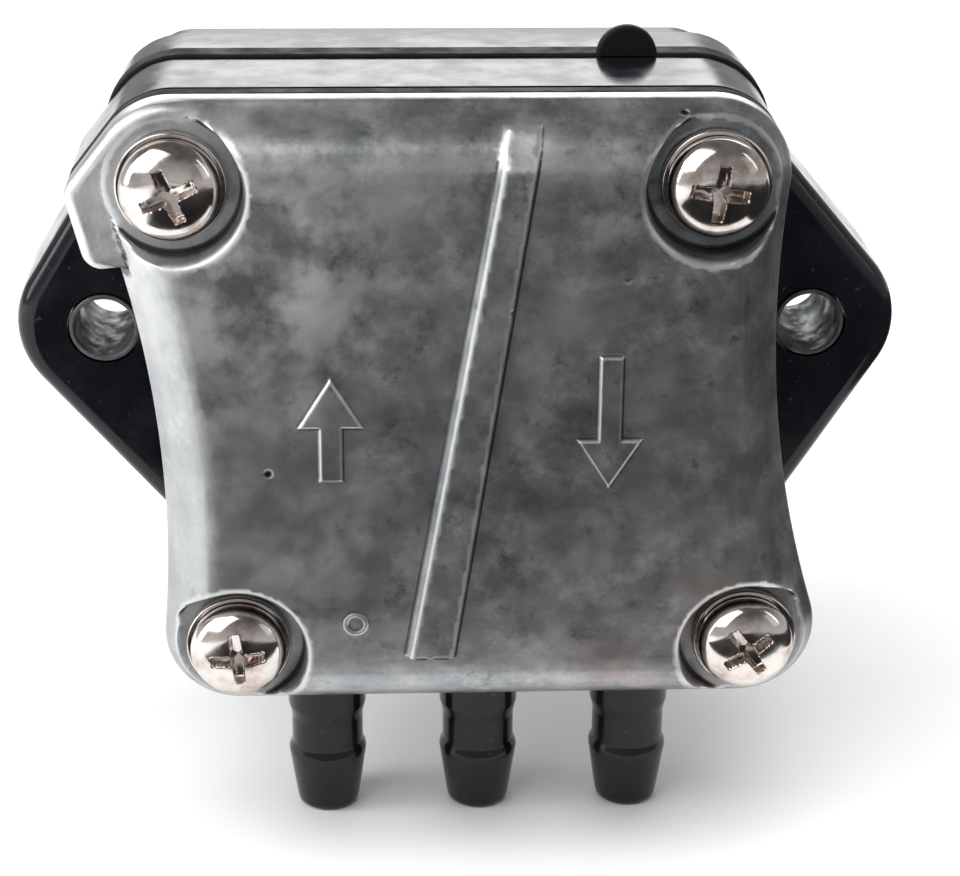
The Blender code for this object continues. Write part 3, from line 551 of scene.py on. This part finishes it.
def nozzle_profile():
    root, tip = -HALF_HEIGHT, NOZZLE_TIP
    bore = 2.0 * MM
    outside = [
        (4.9, root + 0.3 * MM), (4.35, root - 0.15 * MM), (4.1, root - 0.6 * MM), (4.1, root - 4.9 * MM),
        (4.0, root - 5.2 * MM), (3.78, root - 6.2 * MM), (3.75, root - 6.5 * MM), (3.75, root - 9.4 * MM),
        (3.82, root - 9.7 * MM), (4.02, root - 10.1 * MM), (4.1, root - 10.5 * MM), (4.05, root - 11.0 * MM),
        (3.30, tip + 0.9 * MM), (3.15, tip + 0.35 * MM), (2.8, tip + 0.05 * MM), (2.4, tip),
    ]
    inside = [(bore + 0.15 * MM, tip), (bore, tip + 0.2 * MM), (bore, root + 0.3 * MM)]
    return [(radius * MM, z) for radius, z in outside] + inside


def build_valve_body(finish):
    made = bmesh.new()
    outline = lugged_outline()
    split = (CHAMBER_FLOOR + PUMP_CHAMBER_FLOOR) / 2
    chambers = [chamber_outline(side) for side in (-1, 1)]
    pump_chamber = circle((0, 0), PUMP_CHAMBER_RADIUS, 96)
    slab(made, outline, BODY_FRONT, split, 0.3 * MM, 0, chambers + screw_holes())
    slab(made, outline, split, BODY_REAR, 0, 0.3 * MM, [pump_chamber] + screw_holes())
    ports = [circle((side * VALVE_X, 0), 6.5 * MM, 48) for side in (-1, 1)]
    slab(made, circle((0, 0), 19.4 * MM, 96), CHAMBER_FLOOR, PUMP_CHAMBER_FLOOR, 0, 0, ports)
    inlet_front = low("inlet_valve_disc")[1] - 2.4 * MM
    inlet_seat = low("inlet_valve_disc")[1] - 0.3 * MM
    outlet_seat = high("outlet_valve_disc")[1] + 0.3 * MM
    outlet_front = low("outlet_valve_retainer")[1]
    inlet = [(3.2, inlet_front), (8.0, inlet_front), (8.0, PUMP_CHAMBER_FLOOR), (6.5, PUMP_CHAMBER_FLOOR)]
    inlet += [(6.5, inlet_seat), (3.2, inlet_seat)]
    outlet = [(6.5, outlet_front), (8.0, outlet_front), (8.0, PUMP_CHAMBER_FLOOR), (3.2, PUMP_CHAMBER_FLOOR)]
    outlet += [(3.2, outlet_seat), (6.5, outlet_seat)]
    for side, profile in ((-1, inlet), (1, outlet)):
        turned(made, [(radius * MM, y) for radius, y in profile], 48, (side * VALVE_X, 0))
    for x in NOZZLE_XS:
        turned(made, nozzle_profile(), 64, (x, 0), NOZZLE_Y, upright=True)
    new_piece("valve_body_moulding", made, finish, "housing", ["valve_body"])


def build_diaphragm(finish):
    made = bmesh.new()
    outline = body_outline()
    outline[:, :2] += outline[:, 2:] * 0.3 * MM
    opening = circle((0, 0), DIAPHRAGM_OPENING, 96)
    slab(made, outline, DIAPHRAGM_FRONT, DIAPHRAGM_REAR, 0.3 * MM, 0.3 * MM, [opening] + screw_holes())
    tab = circle((TAB_X, HALF_HEIGHT), TAB_RADIUS, 64)
    slab(made, tab, DIAPHRAGM_FRONT, DIAPHRAGM_FRONT + 1.3 * MM, 0.35 * MM, 0.35 * MM)
    new_piece("diaphragm_rim", made, finish, "housing", ["main_diaphragm"])
    web = bmesh.new()
    rim_middle = (DIAPHRAGM_FRONT + DIAPHRAGM_REAR) / 2
    center = (high("front_plate")[1] + low("rear_plate")[1]) / 2
    half = 0.45 * MM
    radii = np.linspace(12.4, 16.4, 17) * MM
    drop = smooth((16.2 * MM - radii) / (3.6 * MM)) * (center - rim_middle)
    profile = [(r, rim_middle + d - half) for r, d in zip(radii, drop)]
    profile = [(2.4 * MM, center - half)] + profile
    back = [(r, y + 2 * half) for r, y in reversed(profile)]
    turned(web, profile + back, 96)
    piece = new_piece("diaphragm_web", web, finish, None, (), 60)
    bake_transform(piece)


def build_base(finish):
    made = bmesh.new()
    sleeves = [circle((x, 0), middle_radius("left_mounting_sleeve") + 0.25 * MM, 48) for x in EARS.values()]
    core = circle((0, 0), 13.6 * MM, 96)
    slab(made, flange_outline(), FLANGE_FRONT, 0.0, FLANGE_FILLET, 0.4 * MM, sleeves + [core])
    dish = circle((0, 0), 15.9 * MM, 96)
    slab(made, body_outline(), BASE_FRONT, -BODY_SETBACK, 0.3 * MM, 0.5 * MM, [dish] + screw_holes())
    groove = middle("pilot_o_ring")[1]
    seal_front, seal_rear = low("rod_seal")[1] - 0.3 * MM, high("rod_seal")[1] + 0.3 * MM
    guide_floor = low("plunger_spring")[1] - 0.3 * MM
    profile = [
        (16.4, BASE_FRONT + 0.2 * MM), (15.5, BASE_FRONT + 0.2 * MM), (15.5, BASE_FRONT + 4.2 * MM),
        (11.0, BASE_FRONT + 4.2 * MM), (11.0, seal_front), (5.0, seal_front), (5.0, seal_rear),
        (2.6, seal_rear), (2.6, guide_floor), (6.5, guide_floor), (6.5, PILOT_END - 0.4 * MM),
        (6.9, PILOT_END), (13.0, PILOT_END), (14.0, PILOT_END - 1.0 * MM), (14.0, groove + 1.5 * MM),
        (12.0, groove + 1.5 * MM), (12.0, groove - 1.5 * MM), (14.0, groove - 1.5 * MM),
        (14.0, -5.0 * MM), (16.4, -5.0 * MM),
    ]
    turned(made, softened([(radius * MM, y) for radius, y in profile], 0.2 * MM, 2), 96)
    new_piece("base_moulding", made, finish, "housing", ["base"])


def middle_radius(node):
    lo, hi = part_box(node)
    return (hi[0] - lo[0]) / 2


def screw_height(x, z, turn):
    """Height of a pan head with a worn cross recess, measured from its bearing face."""
    radius, rise = HEAD_RADIUS, HEAD_HEIGHT
    away = np.minimum(np.hypot(x, z) / radius, 1)
    dome = rise * (0.2 + 0.8 * np.sqrt(1 - away**2.6))
    u = np.abs(x * math.cos(turn) + z * math.sin(turn))
    v = np.abs(z * math.cos(turn) - x * math.sin(turn))
    long, short = np.maximum(u, v), np.minimum(u, v)
    wing = np.minimum((0.66 * MM - 0.06 * long - short) / (0.16 * MM), (2.75 * MM - long) / (0.45 * MM))
    heart = (1.35 * MM - long - short * 0.9) / (0.3 * MM)
    cut = smooth(np.maximum(wing, heart))
    return dome - cut * (1.9 * MM - 0.30 * long)


def build_screws(finish):
    turns = {"upper_left": 0.42, "upper_right": -0.12, "lower_left": 0.10, "lower_right": 0.62}
    for name, (x, z) in SCREWS.items():
        made = bmesh.new()
        bearing = low(f"{name}_screw")[1] + HEAD_HEIGHT
        tip = high(f"{name}_screw")[1]
        radii = np.concatenate([np.linspace(0.08, 3.2, 34), np.linspace(3.3, 4.69, 16), [4.735, 4.75]]) * MM
        segments = 132
        crown = made.verts.new((x, bearing - float(screw_height(0.0, 0.0, turns[name])), z))
        rings = []
        for radius in radii:
            spots = circle((0, 0), radius, segments)[:, :2]
            heights = screw_height(spots[:, 0], spots[:, 1], turns[name])
            raised = zip(spots, heights)
            rings.append([made.verts.new((x + px, bearing - h, z + pz)) for (px, pz), h in raised])
        joint = BASE_FRONT - bearing
        shank = ((0, HEAD_RADIUS), (0, 2.5 * MM), (joint, 2.45 * MM), (joint, 2.1 * MM))
        for y, radius in shank:
            spots = circle((x, z), radius, segments)[:, :2]
            rings.append([made.verts.new((px, bearing + y, pz)) for px, pz in spots])
        spots = circle((x, z), 2.1 * MM, segments)[:, :2]
        rings.append([made.verts.new((px, tip, pz)) for px, pz in spots])
        for i in range(segments):
            made.faces.new((crown, rings[0][i], rings[0][(i + 1) % segments]))
        for a, b in zip(rings, rings[1:]):
            bridge(made, a, b)
        made.faces.new(rings[-1])
        piece = new_piece(f"{name}_pan_screw", made, finish, "housing", [f"{name}_screw"], 60)
        piece.modifiers.clear()
        washer = bmesh.new()
        lo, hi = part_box(f"{name}_washer")
        profile = [(2.8 * MM, lo[1]), (5.2 * MM, lo[1]), (5.2 * MM, hi[1]), (2.8 * MM, hi[1])]
        turned(washer, softened(profile, 0.2 * MM), 96, (x, z))
        new_piece(f"{name}_flat_washer", washer, finish, "housing", [f"{name}_washer"])


def build_sleeves(finish):
    for name, x in EARS.items():
        made = bmesh.new()
        outer = middle_radius(f"{name}_mounting_sleeve")
        profile = [(3.2 * MM, FLANGE_FRONT), (outer, FLANGE_FRONT), (outer, 0), (3.2 * MM, 0)]
        turned(made, softened(profile, 0.12 * MM), 72, (x, 0))
        new_piece(f"{name}_rolled_sleeve", made, finish, "housing", [f"{name}_mounting_sleeve"])


def build_springs(finish):
    sizes = (
        ("diaphragm_spring", "plunger_set", 8.2, 0.6, 4),
        ("plunger_spring", "plunger_set", 5.2, 0.3, 3),
        ("inlet_valve_spring", "inlet_valve", 3.4, 0.2, 2.5),
        ("outlet_valve_spring", "outlet_valve", 3.4, 0.2, 2.5),
    )
    for node, body, radius, wire, turns in sizes:
        made = bmesh.new()
        lo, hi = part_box(node)
        x = 0.0 if body == "plunger_set" else middle(body + "_disc")[0]
        coil(made, radius * MM, wire * MM, lo[1], hi[1], turns, (x, 0))
        piece = new_piece(f"{node}_wire", made, finish, None, [node], 50)
        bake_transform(piece)


def build_moving_set(finishes):
    plunger = bmesh.new()
    lo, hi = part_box("plunger")
    profile = [
        (0, lo[1] + 7 * MM), (4 * MM, lo[1] + 7 * MM), (4 * MM, lo[1]), (6.2 * MM, lo[1]),
        (6.2 * MM, hi[1] - 1.2 * MM), (5.6 * MM, hi[1] - 0.3 * MM), (4.4 * MM, hi[1]), (0, hi[1]),
    ]
    turned(plunger, softened(profile, 0.3 * MM), 96)
    new_piece("plunger_barrel", plunger, finishes["hard_steel"], "plunger_set", ["plunger"])
    for node, material in (("front_plate", "zinc_plate"), ("rear_plate", "zinc_plate")):
        made = bmesh.new()
        lo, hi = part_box(node)
        profile = [(2.3 * MM, lo[1]), (12 * MM, lo[1]), (12 * MM, hi[1]), (2.3 * MM, hi[1])]
        turned(made, softened(profile, 0.3 * MM), 96)
        new_piece(f"{node}_disc", made, finishes[material], "plunger_set", [node])


def build_ring(finish):
    made = bmesh.new()
    lo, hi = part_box("pilot_o_ring")
    tube = (hi[1] - lo[1]) / 2
    turned(made, circle((hi[0] - tube, (lo[1] + hi[1]) / 2), tube, 24)[:, :2], 96)
    new_piece("pilot_ring", made, finish, "housing", ["pilot_o_ring"], 60)


# Materials

class Look:
    """A material whose nodes are added one call at a time."""

    def __init__(self, name, color, roughness, metallic=0.0):
        self.material = bpy.data.materials.new(name)
        self.material.use_nodes = True
        self.tree = self.material.node_tree
        self.shader = self.tree.nodes["Principled BSDF"]
        self.shader.inputs["Base Color"].default_value = (*color, 1)
        self.shader.inputs["Roughness"].default_value = roughness
        self.shader.inputs["Metallic"].default_value = metallic
        self.place = self.add("ShaderNodeTexCoord").outputs["Object"]

    def add(self, kind, **settings):
        node = self.tree.nodes.new(kind)
        for key, value in settings.items():
            setattr(node, key, value)
        return node

    def join(self, source, target):
        self.tree.links.new(source, target)

    def noise(self, scale, detail=4.0, roughness=0.55, stretch=None):
        node = self.add("ShaderNodeTexNoise")
        node.inputs["Scale"].default_value = scale
        node.inputs["Detail"].default_value = detail
        node.inputs["Roughness"].default_value = roughness
        source = self.place
        if stretch:
            mapping = self.add("ShaderNodeMapping")
            mapping.inputs["Scale"].default_value = stretch
            self.join(self.place, mapping.inputs["Vector"])
            source = mapping.outputs["Vector"]
        self.join(source, node.inputs["Vector"])
        return node.outputs["Fac"]

    def spread(self, source, low_in, high_in, low_out=0.0, high_out=1.0):
        node = self.add("ShaderNodeMapRange", interpolation_type="SMOOTHSTEP")
        limits = {"From Min": low_in, "From Max": high_in, "To Min": low_out, "To Max": high_out}
        for key, value in limits.items():
            node.inputs[key].default_value = value
        self.join(source, node.inputs["Value"])
        return node.outputs["Result"]

    def blend(self, factor, first, second, mode="MIX"):
        node = self.add("ShaderNodeMix", data_type="RGBA", blend_type=mode)
        self.join(factor, node.inputs["Factor"])
        for socket, value in ((node.inputs["A"], first), (node.inputs["B"], second)):
            if isinstance(value, tuple):
                socket.default_value = (*value, 1)
            else:
                self.join(value, socket)
        return node.outputs["Result"]

    def math(self, operation, first, second):
        node = self.add("ShaderNodeMath", operation=operation)
        for socket, value in zip(node.inputs, (first, second)):
            if isinstance(value, (int, float)):
                socket.default_value = value
            else:
                self.join(value, socket)
        return node.outputs["Value"]

    def bump(self, height, strength, distance, normal=None):
        node = self.add("ShaderNodeBump")
        node.inputs["Strength"].default_value = strength
        node.inputs["Distance"].default_value = distance
        self.join(height, node.inputs["Height"])
        if normal:
            self.join(normal, node.inputs["Normal"])
        return node.outputs["Normal"]

    def near(self, x, y, z, radius):
        """1 at a place on the object, falling to 0 at the radius."""
        node = self.add("ShaderNodeVectorMath", operation="DISTANCE")
        self.join(self.place, node.inputs[0])
        node.inputs[1].default_value = (x, y, z)
        return self.spread(node.outputs["Value"], 0.0, radius, 1.0, 0.0)

    def color(self, source):
        self.join(source, self.shader.inputs["Base Color"])

    def roughness(self, source):
        self.join(source, self.shader.inputs["Roughness"])

    def normal(self, source):
        self.join(source, self.shader.inputs["Normal"])


def cast_aluminium():
    look = Look("cast_aluminium", (0.42, 0.43, 0.43), 0.42, 0.92)
    clouds = look.spread(look.noise(70, 7, 0.66), 0.36, 0.66)
    grain = look.spread(look.noise(520, 6, 0.7), 0.3, 0.7)
    tone = look.blend(clouds, (0.203, 0.216, 0.228), (0.382, 0.397, 0.410))
    tone = look.blend(look.math("MULTIPLY", grain, 0.35), tone, (0.43, 0.44, 0.44))
    bloom = look.spread(look.noise(210, 9, 0.74), 0.44, 0.68)
    tone = look.blend(look.math("MULTIPLY", bloom, 0.70), tone, (0.60, 0.61, 0.615))
    soot = look.spread(look.noise(340, 8, 0.72), 0.55, 0.72)
    tone = look.blend(look.math("MULTIPLY", soot, 0.75), tone, (0.085, 0.09, 0.095))
    oxide_mask = look.spread(look.noise(150, 6, 0.6), 0.38, 0.62)
    oxide_mask = look.math("MULTIPLY", look.near(-0.021, -0.042, 0.018, 0.026), oxide_mask)
    tone = look.blend(oxide_mask, tone, (0.66, 0.67, 0.67))
    # Painted light: the lug's face is lightened where the lamps fall on it
    lug_painted_light = look.near(-0.0350, -0.0395, 0.0200, 0.014)
    tone = look.blend(lug_painted_light, tone, (0.78, 0.79, 0.80))
    # Painted highlight on the sloped end of the rib
    ramp = look.near(0.0048, -0.0425, 0.0285, 0.0042)
    tone = look.blend(ramp, tone, (0.80, 0.81, 0.81))
    # Painted shade: the cover's right slope is darkened and tinted brown, broken up by noise
    right_slope_painted_shade = look.spread(look.noise(95, 5, 0.6), 0.44, 0.62)
    right_slope_painted_shade = look.math("MULTIPLY", look.near(0.030, -0.042, 0.0, 0.022), right_slope_painted_shade)
    tone = look.blend(look.math("MULTIPLY", right_slope_painted_shade, 0.5), tone, (0.30, 0.262, 0.255))
    # Painted light: the left side of the cover is lightened, as if lit from the left
    left_side_painted_light = look.math("MULTIPLY", look.near(-0.030, -0.042, -0.010, 0.034), 0.55)
    tone = look.blend(left_side_painted_light, tone, (0.52, 0.53, 0.535))
    stain = look.spread(look.noise(120, 5, 0.6, (0.6, 1, 1.6)), 0.46, 0.60)
    stain = look.math("MULTIPLY", stain, look.near(0.022, -0.042, -0.021, 0.024))
    tone = look.blend(stain, tone, (0.39, 0.325, 0.315))
    # Convexity lightens ridges, partly as edge wear and partly as painted highlight, and darkens creases as
    # painted shade
    wear_and_painted_shading = look.add("ShaderNodeAttribute", attribute_name="WearAndPaintedLight").outputs["Fac"]
    ridge = look.spread(wear_and_painted_shading, 0.54, 0.80, 0.0, 0.8)
    tone = look.blend(ridge, tone, (0.66, 0.67, 0.67))
    # Painted shade in creases and hollows
    crease = look.spread(wear_and_painted_shading, 0.46, 0.22, 0.0, 0.85)
    tone = look.blend(crease, tone, (0.05, 0.05, 0.052))
    cells = look.add("ShaderNodeTexVoronoi")
    cells.inputs["Scale"].default_value = 165
    look.join(look.place, cells.inputs["Vector"])
    chosen = look.spread(look.noise(60, 2, 0.5), 0.56, 0.62)
    pits = look.math("MULTIPLY", look.spread(cells.outputs["Distance"], 0.10, 0.04), chosen)
    tone = look.blend(pits, tone, (0.03, 0.03, 0.03))
    look.color(tone)
    rough = look.spread(look.noise(180, 5, 0.6), 0.3, 0.7, 0.30, 0.46)
    look.roughness(look.math("ADD", rough, look.math("MULTIPLY", oxide_mask, 0.18)))
    normal = look.bump(look.noise(1500, 4, 0.6), 0.32, 0.00006)
    normal = look.bump(look.noise(260, 5, 0.6), 0.40, 0.00016, normal)
    normal = look.bump(look.math("SUBTRACT", 1.0, pits), 0.6, 0.0003, normal)
    look.normal(normal)
    return look.material


def black_plastic():
    look = Look("black_plastic", (0.008, 0.009, 0.012), 0.18)
    look.shader.inputs["Specular IOR Level"].default_value = 0.34
    haze = look.spread(look.noise(60, 6, 0.6), 0.35, 0.7)
    tone = look.blend(haze, (0.0045, 0.0050, 0.0075), (0.0090, 0.0100, 0.0130))
    dust = look.spread(look.noise(1400, 3, 0.6), 0.66, 0.74)
    tone = look.blend(look.math("MULTIPLY", dust, 0.35), tone, (0.10, 0.10, 0.10))
    look.color(tone)
    look.roughness(look.spread(look.noise(240, 5, 0.6), 0.3, 0.75, 0.10, 0.24))
    normal = look.bump(look.noise(160, 3, 0.5), 0.10, 0.00012)
    look.normal(look.bump(look.noise(1800, 3, 0.5), 0.08, 0.00003, normal))
    return look.material


def rubber(name, color):
    look = Look(name, color, 0.6)
    look.shader.inputs["Specular IOR Level"].default_value = 0.18
    light = tuple(min(1, c * 1.9) for c in color)
    look.color(look.blend(look.spread(look.noise(220, 6, 0.65), 0.35, 0.7), color, light))
    look.roughness(look.spread(look.noise(400, 4, 0.6), 0.3, 0.7, 0.50, 0.75))
    look.normal(look.bump(look.noise(1300, 4, 0.6), 0.25, 0.00005))
    return look.material


def plated_metal(name, color, stain, roughness, brushed=None):
    look = Look(name, color, roughness, 1.0)
    mottle = look.spread(look.noise(300, 5, 0.6), 0.42, 0.72)
    tone = look.blend(mottle, color, stain)
    look.color(tone)
    look.roughness(look.spread(look.noise(500, 4, 0.6), 0.3, 0.75, roughness * 0.7, roughness * 1.7))
    normal = look.bump(look.noise(900, 3, 0.5, brushed), 0.12, 0.00004)
    look.normal(look.bump(look.noise(2600, 2, 0.5), 0.10, 0.00002, normal))
    return look.material


def build_finishes():
    return {
        "cast_aluminium": cast_aluminium(),
        "black_plastic": black_plastic(),
        "rubber": rubber("rubber", (0.006, 0.006, 0.0065)),
        "valve_rubber": rubber("valve_rubber", (0.05, 0.045, 0.04)),
        "nickel": plated_metal("nickel", (0.80, 0.74, 0.70), (0.42, 0.33, 0.29), 0.13),
        "steel": plated_metal("steel", (0.50, 0.50, 0.50), (0.36, 0.35, 0.34), 0.32, (1, 0.1, 1)),
        "dull_steel": plated_metal("dull_steel", (0.17, 0.18, 0.18), (0.11, 0.115, 0.115), 0.55, (1, 0.1, 1)),
        "hard_steel": plated_metal("hard_steel", (0.42, 0.42, 0.44), (0.30, 0.29, 0.29), 0.20, (0.2, 4, 0.2)),
        "spring_steel": plated_metal("spring_steel", (0.45, 0.44, 0.42), (0.22, 0.20, 0.18), 0.30),
        "zinc_plate": plated_metal("zinc_plate", (0.66, 0.62, 0.48), (0.50, 0.46, 0.38), 0.30),
        "brass": plated_metal("brass", (0.72, 0.53, 0.26), (0.45, 0.30, 0.14), 0.28),
    }


def finish_remaining_nodes(finishes):
    """CAD nodes that stay get the same procedural materials, by their slot in the record."""
    slots = {entry["node"]: entry["material_slot"] for entry in frame["record"]["subparts"]}
    for node, obj in frame["nodes"].items():
        finish = finishes[slots[node]]
        if obj.material_slots:
            for material_slot in obj.material_slots:
                material_slot.material = finish
        else:
            obj.data.materials.append(finish)


# Stage

def plain_material(name, color, roughness):
    look = Look(name, color, roughness)
    look.shader.inputs["Specular IOR Level"].default_value = 0.2
    return look.material


def build_floor():
    made = bmesh.new()
    bmesh.ops.create_grid(made, x_segments=2, y_segments=2, size=1.6)
    mesh = bpy.data.meshes.new("floor")
    made.to_mesh(mesh)
    made.free()
    mesh.materials.append(plain_material("floor_paper", (0.965, 0.965, 0.965), 0.7))
    floor = bpy.data.objects.new("floor", mesh)
    floor.location.z = NOZZLE_TIP
    bpy.context.scene.collection.objects.link(floor)


def build_dark_card():
    """Black cards over the floor in front and on the right, seen only in reflections."""
    made = bmesh.new()
    front = [(-0.070, -0.075), (0.60, -0.075), (0.60, -0.55), (-0.15, -0.55)]
    right = [(0.082, -0.075), (0.082, 0.15), (0.60, 0.30), (0.60, -0.075)]
    for spots in (front, right):
        made.faces.new([made.verts.new((x, y, NOZZLE_TIP + 2 * MM)) for x, y in spots])
    mesh = bpy.data.meshes.new("dark_card")
    made.to_mesh(mesh)
    made.free()
    mesh.materials.append(plain_material("dark_card", (0.01, 0.01, 0.01), 0.9))
    card = bpy.data.objects.new("dark_card", mesh)
    card.visible_camera = False
    card.visible_diffuse = False
    card.visible_shadow = False
    bpy.context.scene.collection.objects.link(card)


def area_light(name, place, target, width, height, power, in_reflections=True):
    light = bpy.data.lights.new(name, "AREA")
    light.shape = "RECTANGLE"
    light.size, light.size_y = width, height
    light.energy = power
    made = bpy.data.objects.new(name, light)
    made.location = place
    made.rotation_euler = (Vector(target) - Vector(place)).to_track_quat("-Z", "Y").to_euler()
    made.visible_camera = False
    made.visible_glossy = in_reflections
    bpy.context.scene.collection.objects.link(made)


def build_lights():
    heart = (0.0, -0.02, 0.0)
    area_light("key_softbox", (-0.42, -0.30, 0.50), heart, 0.70, 0.70, 3.6)
    area_light("back_softbox", (0.03, 0.62, 0.33), (0, -0.02, 0.03), 0.9, 0.30, 2.7)
    area_light("left_strip", (-0.60, -0.12, 0.24), heart, 0.22, 0.5, 1.6)
    area_light("right_fill", (0.60, -0.30, 0.30), heart, 0.35, 0.35, 0.12)
    area_light("overhead", (0.10, -0.15, 0.90), heart, 0.9, 0.9, 6.2, False)
    area_light("right_strip", (0.55, -0.16, 0.33), heart, 0.05, 0.36, 0.13)
    world = bpy.data.worlds.new("studio")
    world.use_nodes = True
    tree = world.node_tree
    place = tree.nodes.new("ShaderNodeTexCoord")
    split = tree.nodes.new("ShaderNodeSeparateXYZ")
    ramp = tree.nodes.new("ShaderNodeMapRange")
    for key, value in (("From Min", 0.05), ("From Max", 0.75), ("To Min", 0.50), ("To Max", 0.14)):
        ramp.inputs[key].default_value = value
    tree.links.new(place.outputs["Generated"], split.inputs[0])
    tree.links.new(split.outputs["Z"], ramp.inputs["Value"])
    tree.links.new(ramp.outputs["Result"], tree.nodes["Background"].inputs["Strength"])
    tree.nodes["Background"].inputs["Color"].default_value = (1, 1, 1, 1)
    bpy.context.scene.world = world


def build_camera():
    camera = bpy.data.cameras.new("camera")
    camera.sensor_width = 36
    camera.lens = 93.7
    camera.clip_start = 0.01
    made = bpy.data.objects.new("camera", camera)
    right = Vector((0.99889, -0.04644, 0.00830))
    up = Vector((0.01053, 0.39083, 0.92040))
    back = Vector((-0.04599, -0.91929, 0.39088))
    turn = Matrix((right, up, back)).transposed().to_4x4()
    made.matrix_world = Matrix.Translation((-0.010113, -0.263116, 0.092864)) @ turn
    bpy.context.scene.collection.objects.link(made)
    bpy.context.scene.camera = made


def set_view():
    view = bpy.context.scene.view_settings
    view.view_transform = "Standard"
    view.look = "None"
    view.exposure = 0.0


finishes = build_finishes()
finish_remaining_nodes(finishes)
build_cover(finishes["cast_aluminium"])
build_membrane(finishes["rubber"])
build_valve_body(finishes["black_plastic"])
build_diaphragm(finishes["rubber"])
build_base(finishes["black_plastic"])
build_screws(finishes["nickel"])
build_sleeves(finishes["dull_steel"])
build_springs(finishes["spring_steel"])
build_moving_set(finishes)
build_ring(finishes["rubber"])
build_floor()
build_dark_card()
build_lights()
build_camera()
set_view()
